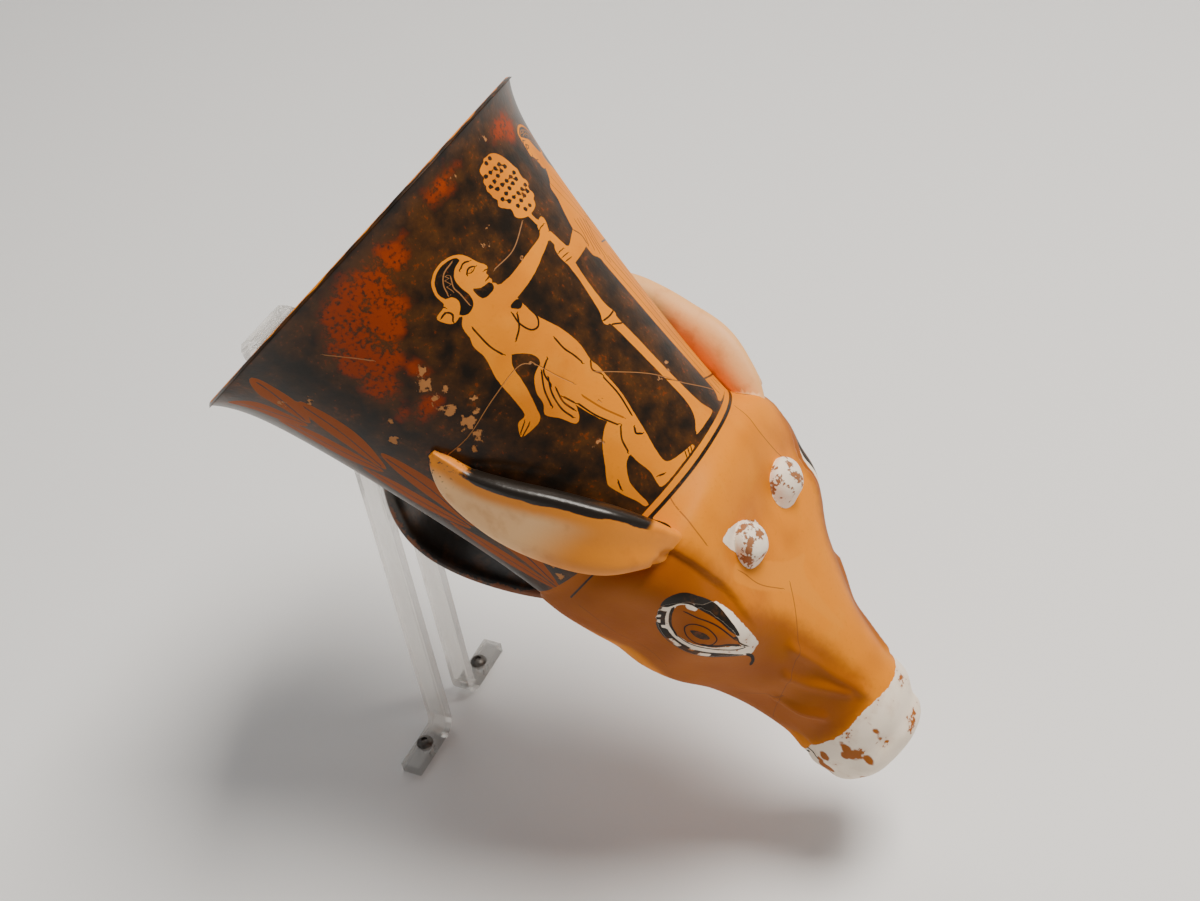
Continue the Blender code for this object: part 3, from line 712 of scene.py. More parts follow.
# Each leaf's foot and tip, then how far its tip and its belly stand out to the side
leaf_chain = [(80, 99.5, 9.0, 8.0), (57, 86.5, 7.2, 8.5), (29, 61.5, 6.0, 8.0), (0.5, 34, 5.0, 7.5)]
for side in (1, -1):
    for foot, tip, reach, width in leaf_chain:
        root = side * 0.9
        rise = tip - foot
        leaves.area([
            (root, foot),
            (root + side * width * .75, foot + rise * .3),
            (root + side * width, foot + rise * .62),
            (root + side * reach * 1.05, tip),
            (root + side * width * .28, foot + rise * .78),
            (root + side * width * .02, foot + rise * .4),
        ])
        ribs.line((root + side * .4, foot + 2), (root + side * width * .5, foot + rise * .5),
                  (root + side * reach * .85, tip - 2.4), width=.5)

# A palmette of nine petals between the chains, on the throat over the handle's root
throat_across = np.where(unpainted, off_layer, (math.pi - side_turn) * radius_mm)
palmette = Layer(throat_across, upward)
palmette_level, petal_half_width = 68, 1.9
for petal in range(5):
    angle = math.radians(22 * petal)
    length = 24 - 2.2 * petal
    lean, rise = math.sin(angle), math.cos(angle)
    wide_x, wide_y = 0.55 * length * lean, palmette_level + 0.55 * length * rise
    palmette.area([
        (1.5 * lean, palmette_level + 1.5 * rise),
        (wide_x + rise * petal_half_width, wide_y - lean * petal_half_width),
        (length * lean, palmette_level + length * rise),
        (wide_x - rise * petal_half_width, wide_y + lean * petal_half_width),
    ])

# The clay band at the join of bowl and head, the bare lip, and the inside, which is black only
# near the rim
band_start, glazed_depth, lip_zone = 102.2, 39, 14
clay_gaps = np.minimum.reduce([clay.gaps, leaves.gaps, palmette.gaps, band_start - along_mm])
brush_end = glazed_depth + 1.6 * np.sin(3 * turn + 1) + 0.9 * np.sin(8 * turn) + 0.5 * np.sin(19 * turn)
inside_gaps = np.clip(brush_end - along_mm, -out_of_reach, out_of_reach)
clay_gaps = np.where(is_inside, inside_gaps, clay_gaps)
lip_wear = 0.2 + 0.1 * (np.sin(7 * turn + 1) + np.sin(19 * turn + 2) + np.sin(43 * turn + 4))
lip_gaps = np.minimum(clay_gaps, along_mm - lip_wear + 2 * is_inside)
clay_gaps = np.where(along_mm < lip_zone, lip_gaps, clay_gaps)

# The dark line over the join, drawn in degrees of turn and millimetres from the rim
join_line = Layer(np.where(is_inside, off_layer, np.degrees(side_turn)), along_mm)
join_line.line((-5, 104.4), (20, 104.5), (45, 104.3), width=1, sharp=True)
join_line.line((45, 104.3), (44, 106.4), (44.6, 108.6), (48.5, 111), width=.9)
join_line.line((64, 104.6), (80, 105.2), (99, 106.8), width=.5)

# Places on the head are millimetres from the rim, and up the skin from a line along the temple. A
# table holds how far down the skin each degree of turn lies, at even steps along the head.
temple, head_steps = 60, 112
table_along = np.linspace(bowl_depth, bowl_depth + head_length, head_steps + 1)
table_turns = np.radians(np.arange(0, 181))
table_skin = skin(table_along[:, None], table_turns[None, :])
table_steps = np.linalg.norm(np.diff(table_skin[..., 1:], axis=1), axis=-1)
table_down = np.pad(np.cumsum(table_steps, 1), ((0, 0), (1, 0))) / millimetre
table_down -= table_down[:, temple:temple + 1]
row_place = np.clip((along - bowl_depth) / head_length * head_steps, 0, head_steps - 0.001)
turn_place = np.clip(np.degrees(side_turn), 0, 179.999)
row, column = row_place.astype(int), turn_place.astype(int)
past_row, past_column = row_place - row, turn_place - column


def down_the_skin(degrees):
    return table_down[row, degrees] * (1 - past_row) + table_down[row + 1, degrees] * past_row


cheek_down = down_the_skin(column) * (1 - past_column) + down_the_skin(column + 1) * past_column
over_crown = np.where(turn < 0, cheek_down - 2 * down_the_skin(0), -cheek_down)
head_along = np.where((along < bowl_depth) | is_inside, off_layer, along_mm)

# On the calf's face: white slip, black areas, contours, the iris, hair lines and worn spots
face_layers = ("white", "black", "fine", "iris", "hair", "worn")
face = {name: Layer(head_along, -cheek_down) for name in face_layers}

# The painted eye: a white and a thick black lid, a chequered ring, and a brown eyeball with fine
# contours
face["white"].area([(123.2, -11.5), (126.2, -8.6), (130, -8.2), (131.8, -6.2), (135, -5.1), (139.2, -4.7),
                    (143.5, -4.9), (151.5, -4.5), (152.6, -6), (153.2, -8), (151.4, -10.8), (148, -14.6),
                    (144.4, -19.6), (140.4, -23.6), (136.4, -26), (133, -27.2), (129.4, -25.4), (126, -21.6),
                    (123.4, -17), (122.6, -14)])
face["white"].area([(125.2, -12.6), (126.4, -15.5), (129.2, -19.8), (132.3, -21.9), (135.6, -20.9),
                    (139.4, -17.9), (142.6, -15), (145.4, -11.8), (147.6, -9.2), (144.8, -8.5), (142, -8.4),
                    (137, -8.9), (131.8, -9.2), (128.6, -8.9), (126.4, -9.4), (125.2, -10.8)], hole=True)
face["white"].area([(126, -8.8), (129, -9), (130, -10.6), (127.6, -10.4)])
face["black"].area([(122.2, -13.4), (121.4, -10), (122.4, -6.9), (124.8, -5.6), (130.2, -5.9),
                    (134.5, -6.2), (139, -6.8), (143, -7.2), (145.2, -7.8), (142, -9), (137, -9.5),
                    (131.8, -9.9), (127.5, -9.1), (125, -9.8), (123.8, -12.3)])


def rail(points):
    """A curve through the points, which gives back its place at a share of its length."""
    curve = through(points, False)
    run = np.concatenate([[0], np.cumsum(np.hypot(*np.diff(curve, axis=0).T))])
    return lambda share: np.stack([np.interp(share * run[-1], run, side) for side in curve.T], -1)


ring_outside = rail([(122, -13), (123.8, -18), (127, -23.8), (131.2, -27.4), (134.5, -27.4), (139, -24.8),
                     (144.2, -20.6), (147.8, -15.7), (152, -10.2)])
ring_inside = rail([(123.8, -12.3), (126.2, -18), (129.2, -22.2), (132.5, -23.8), (136.5, -22.6),
                    (141, -19.5), (146.3, -14.8), (151.6, -10)])
shares = np.linspace(0, 1, 25)
face["black"].area(np.vstack([ring_outside(shares), ring_inside(shares)[::-1]]), sharp=True)
for start, end, near, far in (
    (.01, .06, .3, 1),
    (.11, .15, .12, .5),
    (.18, .22, .12, .5),
    (.25, .29, .5, 1),
    (.40, .48, .15, .7),
    (.53, .57, .6, 1),
    (.62, .72, .12, .7),
):
    check = np.linspace(start, end, 3)
    inward = ring_inside(check) - ring_outside(check)
    near_edge, far_edge = ring_outside(check) + near * inward, ring_outside(check) + far * inward
    face["black"].area(np.vstack([near_edge, far_edge[::-1]]), hole=True, sharp=True)
face["fine"].line((124.9, -12.4), (126.2, -15.5), (129, -20), (132.2, -22.2), width=.75)
face["fine"].line((138.6, -17.8), (140.8, -16), (142.8, -14), (144.4, -12), (147.4, -9.4), width=.75)
face["hair"].line((132.2, -22.2), (135.8, -21.2), (139.8, -18.2), (143.8, -15), (147.6, -11.4),
                  (149.6, -8.6), width=.4)
face["iris"].area([(132, -15), (131.6, -17.4), (133.8, -19.4), (136.6, -19.2), (138.8, -17.6),
                   (140.6, -15.6), (140.6, -13.6), (139.4, -13), (137, -13), (134.4, -13.6)])
face["hair"].line((128, -12), (131.5, -12.3), (134.5, -11.6), (138, -10.6), (142, -9.9), (145, -9.3),
                  width=.45)
face["hair"].line((144.8, -8.6), (147, -8.8), (150, -7.6), width=.45)
face["hair"].line((152.6, -9.2), (154.2, -8.6), (155.8, -9.2), (156.5, -10.4), width=1.1)
face["black"].area([(133.2, -17.2), (134.5, -15.7), (136.8, -14.6), (138.8, -14.7), (137.4, -16.4),
                    (135.4, -17.5)])

# White slip over the muzzle and round the horns, worn through to the clay in spots
face["white"].area([(194.4, 60), (192, 40), (190.6, 34), (194.2, 27), (195, 22), (194.2, 15), (193.6, 8),
                    (194.8, 2), (195, -4), (194.6, -10), (194.4, -15), (195.4, -19), (196.4, -24),
                    (198.6, -29), (201.4, -31), (205.4, -35), (206, -60), (240, -60), (240, 60)])
horn_along = np.where(turn > 0, head_along, off_layer)
spill = Layer(horn_along, -cheek_down)
spill.area([(122.8, 13.1), (122.8, 17.2), (124.8, 21.5), (129, 24), (132, 22), (133, 17), (131.5, 12),
            (130.8, 11), (125.8, 11.6)])
face["white"].gaps = np.minimum(face["white"].gaps, spill.gaps)
for place, up, size, stretch in (
    (200.5, -3.1, 1.5, 2.4), (202.6, -1.6, 1.4, 1.4), (198.5, -11.9, 1.5, 1.3), (206.5, 0, 1.3, 1.6),
    (200.8, 7.7, .7, 2), (203.8, 7, .5, 1.6), (201, -5, 1.2, 1.3), (199.6, -15, 1, 1.5),
    (203.8, -26, 1.2, .9), (204, 5.2, .6, .6), (207.6, -.4, .7, 1.8), (206.4, -28.4, 1.2, 1),
    (210, -20, 1.6, .8), (205, -33, 1.6, 1.6), (212, -8, 1.2, 1), (201.6, -21, .9, 1.4),
    (208, -24, .8, 2), (197.4, 8, .4, 1.5), (203, -16, 2, 1.6), (206.5, -19, 1.1, 2),
    (200.5, -30, 1.8, 1.2), (209, -33, 1.4, 1.8),
):
    face["worn"].dot(place, up, size, stretch)
face["hair"].line((195.6, -18), (197.2, -17.4), (199, -15.8), width=.8)
face["hair"].line((196.8, -20), (197.6, -25), (200, -28.4), (202.8, -27), width=.9)

# The repaired area between the horns and the nose, painted shade over the cheek and jaw, the folds and the
# mouth's slit
shade_start = 101.8
patch = Layer(head_along, over_crown)
folds, slit = (Layer(head_along, -cheek_down) for _ in range(2))
shade = Layer(np.where(is_inside | (along_mm < shade_start), off_layer, along_mm), -cheek_down)
patch.area([(131, 7.5), (137, 13.6), (145, 20.6), (148.8, 27), (151, 22.3), (156.2, 19.9), (165.5, 19.3),
            (172.5, 19.5), (170, 17.4), (163.2, 15.6), (154.8, 14.1), (148.8, 12), (142, 6.4), (134.2, 2.5)])
# Painted shade: this stretch of cheek and jaw is darkened as if turned away from the lamp
shade.area([(94, 6), (104, 6), (112, 7.4), (120, 6), (126, 4), (133, .8), (142, 0), (152, 6), (160, 8),
            (175, 12), (188, 14), (194, 8), (194, -14), (180, -30), (165, -40), (150, -46), (104, -50),
            (94, -50)])
folds.line((162, 2), (170, 5), (178, 8), (186, 11), (190, 12.5))
folds.line((168, -4), (175, 0), (180, 4), (186, 8.6))
folds.line((172, -12), (180, -8), (187, -2))
slit.line((195, -15.5), (197.2, -17.8), (198.2, -25), (200.4, -28.4), (205, -31))

# Fine cracks: five that are on the near side or over the crown, and one under both ears
near_cracks = Layer(head_along, over_crown)
for crack in (
    [(149.2, 15.2), (156.5, 8.5), (162, 4.5), (164, 3.3), (170.2, -4.8), (176, -14), (180.5, -21)],
    [(103, 19.4), (107.5, 16.6), (112.2, 13.7), (119.5, 9.6)],
    [(106, 58), (113.5, 53), (122.5, 50.3), (127.5, 49.7)],
    [(133, 6), (140, 7.4), (148, 12)],
    [(166, -26), (170, -14), (174, -9)],
):
    near_cracks.line(*crack, width=.3)
cheek_cracks = Layer(head_along, -cheek_down)
cheek_cracks.line((110, -30), (124, -38), (141, -40), width=.3)

# What a shader reads is kept on the points, three numbers under each name
keep("near_cracks", *near_cracks.brushed())
keep("cheek_cracks", *cheek_cracks.brushed())
keep("tones", patch.gaps, shade.gaps, leaves.gaps)
keep("areas", clay_gaps, np.minimum(dark.gaps, face["black"].gaps), face["white"].gaps)
for number, layer in enumerate(ink):
    keep(f"ink_{number + 1}", *layer.brushed())
for number, layer in enumerate(thin):
    keep(f"thin_{number + 1}", *layer.brushed())
keep("scratches", *light.brushed())
keep("ribs", *ribs.brushed())
keep("join_line", *join_line.brushed())
keep("face_lines", *face["fine"].brushed())
keep("face_hairs", *face["hair"].brushed())
keep("iris_and_side", face["iris"].gaps, near_side)

# What the kiln and the ground did: a red, speckled patch where the black misfired, flakes and chips
burn = np.full(len(along), out_of_reach)
for place, height, wide, tall in (
    (-8, 94, 15, 7), (-20, 84, 10, 11), (-11, 86, 9, 7), (-25, 74, 6, 7), (-24, 70, 3, 4),
    (-21, 62, 7, 4), (-27, 65, 3, 4), (-15, 69, 3, 4), (24, 97, 7, 3), (54, 95, 9, 4),
):
    spread = np.hypot((across - place) / wide, (upward - height) / tall) - 1
    burn = np.minimum(burn, spread * min(wide, tall))
flakes = Layer(across, upward)
for place, height, size in (
    (-14.2, 69.5, 1), (-16.6, 66.5, 1.5), (-18, 62, .8), (-36, 62, 1.2), (-31.5, 66, .5), (-17, 57, 1.3),
    (-16.6, 51.6, 1.7), (-12.8, 52.4, .7), (-17, 47, 1.2), (-21, 45, .5), (24.8, 81.2, .3), (20.6, 79, .4),
    (25.6, 69.7, .3), (35, 21.2, .6), (33, 20, .5), (2.4, 22.6, .8), (28.6, 20.6, .6), (44, 97, .5),
    (40.8, 73.8, .2), (-53, 89, .9), (-44.5, 84.6, .8), (-33, 7, 1.4), (-35, 3, .9), (-19, 59, .5),
    (-14, 62, .5), (-11, 55, .4), (-24, 48, .4), (10.5, 29.5, .3), (28, 96, .4),
):
    flakes.dot(place, height, size, 1.3)
keep("wear", burn, flakes.gaps, face["worn"].gaps)

# Places on the ears and the handle, for the bands along their edges
ear_share = (ear_root - along) / ear_reach
ear_half = smooth_value(ear_stations, 3, ear_share) * ear_width / millimetre
ear_stand_off = 6
ear_down = (side_turn - ear_middle(ear_share)) * (radius_mm + ear_stand_off)
handle_edge = (handle_width / 2 - np.abs(offsets[:, 1])) / millimetre
keep("form", ear_share, ear_down + ear_half, handle_edge)

# The folds of skin above the mouth are ridges, the mouth a pressed groove, and the hollow of the eye
# drops from a ledge that runs from the ear's root over the eye
fold_height, slit_depth, fold_spread = 0.0011, 0.0007, 1.5
ledge_drop, ledge_step, ledge_fade, near_skin = 0.0016, 1.5, 9.0, 0.003
ledge = np.array([(103.5, -1), (108, 3.4), (113, 5.4), (119.5, 4), (126, 2.2), (133.8, -.4),
                  (140, -1.6), (148, -2)])
ledge_start, ledge_end = 104, 148
below = np.interp(along_mm, *ledge.T) + cheek_down
drop = np.clip(below / ledge_step, 0, 1)
drop = drop * drop * (3 - 2 * drop) * np.exp(-np.clip(below / ledge_fade, 0, None) ** 2)
drop *= np.clip((along_mm - ledge_start) / 5, 0, 1) * np.clip((ledge_end - along_mm) / 12, 0, 1)
on_skin = np.abs(np.hypot(level - section_level, offsets[:, 1]) - skin_radius) < near_skin
normals = np.empty(len(along) * 3)
body.data.vertices.foreach_get("normal", normals)
relief = fold_height * np.exp(-(folds.gaps / fold_spread) ** 2)
relief -= slit_depth * np.exp(-(slit.gaps / fold_spread) ** 2)
relief -= ledge_drop * drop
coordinates += (normals.reshape(-1, 3) * np.where(on_skin & ~is_inside, relief, 0)[:, None]).ravel()
body.data.vertices.foreach_set("co", coordinates)
body.data.update()


# The finish: burnished orange clay under a black slip that turned glossy in the kiln, with thinned
# brown slip for the faint lines and a white slip on top. Its sums are written as plain expressions.
class Wire:
    """A socket in a sum: every operator adds its own Math node to the finish."""

    def __init__(self, finish, socket):
        self.finish = finish
        self.socket = socket

    def math(self, operation, first, second):
        return self.finish.node("ShaderNodeMath", {"operation": operation}, {0: first, 1: second})

    def __add__(self, other):
        return self.math("ADD", self, other)

    def __sub__(self, other):
        return self.math("SUBTRACT", self, other)

    def __rsub__(self, other):
        return self.math("SUBTRACT", other, self)

    def __mul__(self, other):
        return self.math("MULTIPLY", self, other)

    def __abs__(self):
        return self.math("ABSOLUTE", self, 0.0)

    def __or__(self, other):
        return self.math("MAXIMUM", self, other)

    __radd__ = __add__
    __rmul__ = __mul__
    __ror__ = __or__


class Finish:
    """A material in the making: its nodes, its sums, and what they feed on the surface."""

    def __init__(self, material):
        material.use_nodes = True
        self.tree = material.node_tree
        self.surface = self.tree.nodes["Principled BSDF"]
        self.place = self.node("ShaderNodeTexCoord", {}, {}, "Object")

    def node(self, kind, settings, sockets, output=0):
        """Any node: its settings first, then a value or a wire for each socket."""
        made = self.tree.nodes.new(kind)
        for setting, value in settings.items():
            setattr(made, setting, value)
        for socket, value in sockets.items():
            self.feed(made.inputs[socket], value)
        return Wire(self, made.outputs[output])

    def feed(self, socket, value):
        if isinstance(value, Wire):
            self.tree.links.new(value.socket, socket)
        else:
            socket.default_value = value

    def coat(self, sockets):
        for socket, value in sockets.items():
            self.feed(self.surface.inputs[socket], value)

    def fields(self, name):
        """The three numbers that the skin carries under one name."""
        stored = self.node("ShaderNodeAttribute", {"attribute_name": name}, {}, "Vector")
        parts = self.node("ShaderNodeSeparateXYZ", {}, {0: stored}).socket.node
        return [Wire(self, parts.outputs[part]) for part in range(3)]

    def ease(self, value, start, end):
        """A mask that is 0 before the start and 1 past the end, which may lie below it."""
        settings = {"interpolation_type": "SMOOTHSTEP"}
        return self.node("ShaderNodeMapRange", settings, {0: value, 1: start, 2: end, 3: 0.0, 4: 1.0})

    def noise(self, grain, shift=0.0, detail=2.0, stretch=(1, 1, 1)):
        """Noise with lumps of a size in metres."""
        sockets = {0: self.place, 1: (shift, shift * 0.7, shift * 0.4), 3: stretch}
        moved = self.node("ShaderNodeMapping", {}, sockets)
        return self.node("ShaderNodeTexNoise", {}, {"Vector": moved, "Scale": 1 / grain, "Detail": detail})

    def blend(self, mask, first, second):
        colours = {0: mask, 6: first, 7: second}
        return self.node("ShaderNodeMix", {"data_type": "RGBA"}, colours, 2)

    def brushed(self, name, wobble):
        """A mask of the fine lines in one layer, a little uneven in width."""
        gap, signed, half = self.fields(name)
        return self.ease(abs(signed) - half - wobble, 0.09, -0.09) * self.ease(gap, 0.95, 0.7)

    def bump(self, height, depth):
        sockets = {"Strength": 1.0, "Distance": depth, "Height": height}
        return self.node("ShaderNodeBump", {}, sockets)


# The clay, then the glossy black, its faults, and the white
clay_orange = (0.80, 0.245, 0.001, 1)
clay_deep = (0.52, 0.13, 0.001, 1)
clay_pale = (0.82, 0.34, 0.03, 1)
bare_clay = (0.46, 0.19, 0.06, 1)
painted_cheek_shade = (0.23, 0.048, 0.001, 1)
patch_tan = (0.80, 0.27, 0.012, 1)
leaf_brown_and_shade = (0.30, 0.064, 0.004, 1)
glaze_black = (0.014, 0.010, 0.007, 1)
glaze_brown = (0.085, 0.032, 0.008, 1)
misfired = (0.29, 0.036, 0.002, 1)
thinned = (0.20, 0.048, 0.002, 1)
worn_brown = (0.20, 0.058, 0.014, 1)
slip_white = (0.98, 0.84, 0.68, 1)
slip_worn = (0.36, 0.105, 0.012, 1)

paint = Finish(painted_clay)
clay_gap, dark_gap, white_gap = paint.fields("areas")
burn_gap, flake_gap, worn_gap = paint.fields("wear")
patch_gap, shade_gap, leaf_gap = paint.fields("tones")
cloudy = paint.noise(0.022)
mottled = paint.noise(0.006, 3.1, 4.0)
grainy = paint.noise(0.0011, 1.7, 3.0)
wobble = (paint.noise(0.0016, 5.0) - 0.5) * 0.22
chipped = (paint.noise(0.0022, 8.0, 4.0) - 0.5) * 1.6
eaten = (paint.noise(0.0016, 3.0, 4.0) - 0.5) * 5.0

# The clay, painted shade on the cheek and in the brown leaves, the repaired area and the thinned lines
colour = paint.blend(paint.ease(cloudy, 0.42, 0.72) * 0.7, clay_orange, clay_deep)
colour = paint.blend(paint.ease(mottled, 0.5, 0.8) * 0.22, colour, clay_pale)
colour = paint.blend(paint.ease(grainy, 0.55, 0.8) * 0.25, colour, clay_deep)
# Painted shade darkens the cheek and jaw
colour = paint.blend(paint.ease(shade_gap + chipped * 1.5, 3.2, -3.6) * 0.75, colour, painted_cheek_shade)
# The leaves are a darker brown than the figures, partly painted shade for the underside of the bowl
colour = paint.blend(paint.ease(leaf_gap + wobble, 0.1, -0.1), colour, leaf_brown_and_shade)
colour = paint.blend(paint.ease(patch_gap + chipped * 0.6, 0.5, -0.5) * 0.6, colour, patch_tan)
thin_lines = paint.brushed("thin_1", 0.0) | paint.brushed("thin_2", 0.0)
colour = paint.blend(thin_lines * 0.75, colour, thinned)
cracks = paint.brushed("near_cracks", 0.0) | paint.brushed("cheek_cracks", 0.0)
colour = paint.blend(cracks * 0.75, colour, worn_brown)

# The black slip and lines, with red specks, a brown scorched halo and the red misfired patch
fine_lines = paint.brushed("ink_1", wobble * 0.5)
for name in ("ink_2", "ink_3", "ink_4", "join_line", "ribs"):
    fine_lines = fine_lines | paint.brushed(name, wobble * 0.5)
ground = paint.ease(clay_gap + wobble, -0.07, 0.07)
drawn = paint.ease(dark_gap + wobble, 0.07, -0.07)
black = ground | drawn | fine_lines
glaze = paint.blend(paint.ease(mottled + (grainy - 0.5) * 0.4, 0.5, 0.78), glaze_black, glaze_brown)
colour = paint.blend(black, colour, glaze)
specks = paint.ease(grainy + (mottled - 0.5) * 0.6, 0.66, 0.74) * black
scorch = paint.ease(burn_gap + (cloudy - 0.5) * 12.0, 10.0, 0.0) * ground
colour = paint.blend(scorch * paint.ease(mottled, 0.3, 0.62) * 0.7, colour, glaze_brown)
burnt = paint.ease(burn_gap + (mottled - 0.5) * 9.0 + (cloudy - 0.5) * 5.0, 0.6, -3.0) * ground
burnt = burnt * paint.ease(grainy + mottled * 0.8, 1.08, 0.84)
colour = paint.blend(specks * 0.3 | burnt, colour, misfired)

# The white slip with its brown spots, the eye's lines over it, then flakes and scratches
white = paint.ease(white_gap + chipped * 0.3 + eaten * 0.2, 0.1, -0.1)
slip = paint.blend(paint.ease(mottled, 0.45, 0.8) * 0.4, slip_white, bare_clay)
slip_spots = paint.ease(mottled + (grainy - 0.5) * 0.35, 0.63, 0.67)
slip = paint.blend(slip_spots, slip, slip_worn)
colour = paint.blend(white, colour, slip)
iris_gap = paint.fields("iris_and_side")[0]
face_lines = paint.brushed("face_lines", 0.0) | paint.brushed("face_hairs", 0.0)
face_lines = face_lines | paint.ease(abs(iris_gap) - 0.2, 0.09, -0.09)
worn = paint.ease(worn_gap + chipped * 0.7, 0.25, -0.25)
colour = paint.blend(face_lines | drawn * white, colour, glaze)
colour = paint.blend(worn * white, colour, slip_worn)
flaked = paint.ease(flake_gap + eaten, 0.15, -0.25) | paint.brushed("scratches", 0.0) * 0.8
colour = paint.blend(flaked, colour, bare_clay)

matt = (1 - black) | burnt * 0.7 | flaked | white
relief = mottled * 0.5 + grainy * 0.18 - flaked * 0.9 - worn * 0.4 + white * 0.3
paint.coat({
    "Base Color": colour,
    "Roughness": 0.28 + mottled * 0.10 + matt * 0.20,
    "Specular IOR Level": 0.15,
    "Coat Weight": black * (1 - matt * 0.9) * 0.12,
    "Coat Roughness": 0.2,
    "Normal": paint.bump(relief, 0.00022),
})

# The ears: painted light makes the open face and the whole far ear paler, with the black edge on the near
# one alone
painted_light_clay = (0.97, 0.58, 0.26, 1)
ear_paint = Finish(ear_clay)
ear_share_here, edge_gap, _ = ear_paint.fields("form")
on_near_side = ear_paint.fields("iris_and_side")[1]
mottled = ear_paint.noise(0.005, 3.1, 4.0)
grainy = ear_paint.noise(0.0011, 1.7, 3.0)
open_face = ear_paint.ease(ear_share_here, 0.3, 0.55) * ear_paint.ease(edge_gap + mottled * 2, 4.5, 9.0)
# Painted light: the dish of each ear and all of the far ear are made paler, as if lit
painted_light = open_face * 0.9 | (1 - on_near_side) * 0.6
colour = ear_paint.blend(painted_light, clay_orange, painted_light_clay)
colour = ear_paint.blend(ear_paint.ease(mottled, 0.5, 0.75) * 0.3, colour, clay_deep)
band = ear_paint.ease(edge_gap + (mottled - 0.5) * 1.6 + ear_share_here * 1.6, 3.0, 2.7)
band = band * ear_paint.ease(ear_share_here, 0.17, 0.20) * on_near_side
band = band * ear_paint.ease(ear_share_here + (grainy - 0.5) * 0.08, 0.88, 0.84)
colour = ear_paint.blend(band, colour, glaze_black)
dots = ear_paint.ease(grainy, 0.60, 0.66) * ear_paint.ease(ear_share_here, 0.8, 0.97)
colour = ear_paint.blend(dots, colour, glaze_brown)
ear_paint.coat({
    "Base Color": colour,
    "Roughness": 0.52 - band * 0.2,
    "Normal": ear_paint.bump(mottled * 0.5 + grainy * 0.2, 0.00025),
})

# The horn stumps: white slip, worn through in spots
horn_worn = (0.34, 0.13, 0.045, 1)
horn_paint = Finish(horn_slip)
mottled = horn_paint.noise(0.0035, 2.2, 4.0)
grainy = horn_paint.noise(0.0009, 1.7, 3.0)
bare = horn_paint.ease(mottled + (grainy - 0.5) * 0.45, 0.54, 0.60)
colour = horn_paint.blend(bare, slip_white, horn_worn)
horn_paint.coat({
    "Base Color": colour,
    "Roughness": 0.7,
    "Normal": horn_paint.bump(mottled - bare * 0.5, 0.00035),
})

# The handle: black all over, rubbed brown along its edges
handle_paint = Finish(handle_glaze)
handle_gap = handle_paint.fields("form")[2]
mottled = handle_paint.noise(0.006, 3.1, 4.0)
grainy = handle_paint.noise(0.0012, 1.7, 3.0)
rubbed = handle_paint.ease(handle_gap + (mottled - 0.5) * 4.0 + (grainy - 0.5) * 2.0, 0.3, -0.4)
glaze = handle_paint.blend(handle_paint.ease(mottled, 0.5, 0.8), glaze_black, glaze_brown)
colour = handle_paint.blend(rubbed, glaze, worn_brown)
handle_paint.coat({
    "Base Color": colour,
    "Roughness": 0.32 + rubbed * 0.25,
    "Normal": handle_paint.bump(mottled * 0.5 + grainy * 0.2 - rubbed * 0.3, 0.00025),
})

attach(body, "root")
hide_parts("rhyton")


# The stand: clear plastic strips, bent hot and welded with solvent, whose arm follows the throat side
# of the bowl and hooks over the rim. Its cut edges were flame polished, so they are a little rounded.
edge_round = 0.0004
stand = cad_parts["stand"]
strips = bmesh.new()
strips.from_mesh(stand.data)
bmesh.ops.remove_doubles(strips, verts=strips.verts, dist=1e-6)
bmesh.ops.dissolve_limit(strips, angle_limit=math.radians(2), verts=strips.verts, edges=strips.edges)
stand_mesh = bpy.data.meshes.new("clear_stand")
strips.to_mesh(stand_mesh)
strips.free()
clear_stand = bpy.data.objects.new("clear_stand", stand_mesh)
bpy.context.scene.collection.objects.link(clear_stand)
rounded = clear_stand.modifiers.new("polished edges", "BEVEL")
rounded.width = edge_round
rounded.segments = 2
rounded.limit_method = "ANGLE"
rounded.angle_limit = math.radians(35)
rounded.use_clamp_overlap = True
graph = bpy.context.evaluated_depsgraph_get()
finished = bpy.data.meshes.new_from_object(clear_stand.evaluated_get(graph))
clear_stand.modifiers.clear()
clear_stand.data = finished

clean_plastic, scuffed_plastic = (0.97, 0.95, 0.91, 1), (0.90, 0.86, 0.80, 1)
clear = bpy.data.materials.new("clear_plastic")
clear_paint = Finish(clear)
scuffs = clear_paint.noise(0.0018, 2.0, 3.0, (1, 1, 0.15))
clear_paint.coat({
    "Base Color": clear_paint.blend(clear_paint.ease(scuffs, 0.3, 0.8), clean_plastic, scuffed_plastic),
    "Roughness": 0.04 + clear_paint.ease(scuffs, 0.55, 0.75) * 0.16,
    "Transmission Weight": 0.82,
    "IOR": 1.49,
    "Alpha": 0.72,
})
finished.materials.clear()
finished.materials.append(clear)
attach(clear_stand, "root")
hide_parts("stand")


# The screws: two round-headed steel screws with a hexagon socket, turned down through the feet.
# Geometry Nodes shape one and set it in both feet.
steel_bright, steel_dull = (0.16, 0.15, 0.14, 1), (0.07, 0.055, 0.045, 1)
steel = bpy.data.materials.new("dark_steel")
steel_paint = Finish(steel)
turned = steel_paint.noise(0.0004, 1.0, 2.0, (0.2, 0.2, 3))
dull = steel_paint.noise(0.0015, 4.0, 3.0)
steel_paint.coat({
    "Base Color": steel_paint.blend(steel_paint.ease(dull, 0.4, 0.7), steel_bright, steel_dull),
    "Metallic": 0.9,
    "Roughness": 0.28 + dull * 0.25,
    "Normal": steel_paint.bump(turned, 0.00004),
})

right_low, right_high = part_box("screw_right")
left_low, left_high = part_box("screw_left")
head_radius, head_height, socket_radius, shank_radius = 0.0029, 0.0016, 0.0012, 0.0016
seat_level = right_high.z - head_height
first_screw = Vector(((right_low.x + right_high.x) / 2, (right_low.y + right_high.y) / 2, seat_level))
second_screw = Vector(((left_low.x + left_high.x) / 2, (left_low.y + left_high.y) / 2, seat_level))

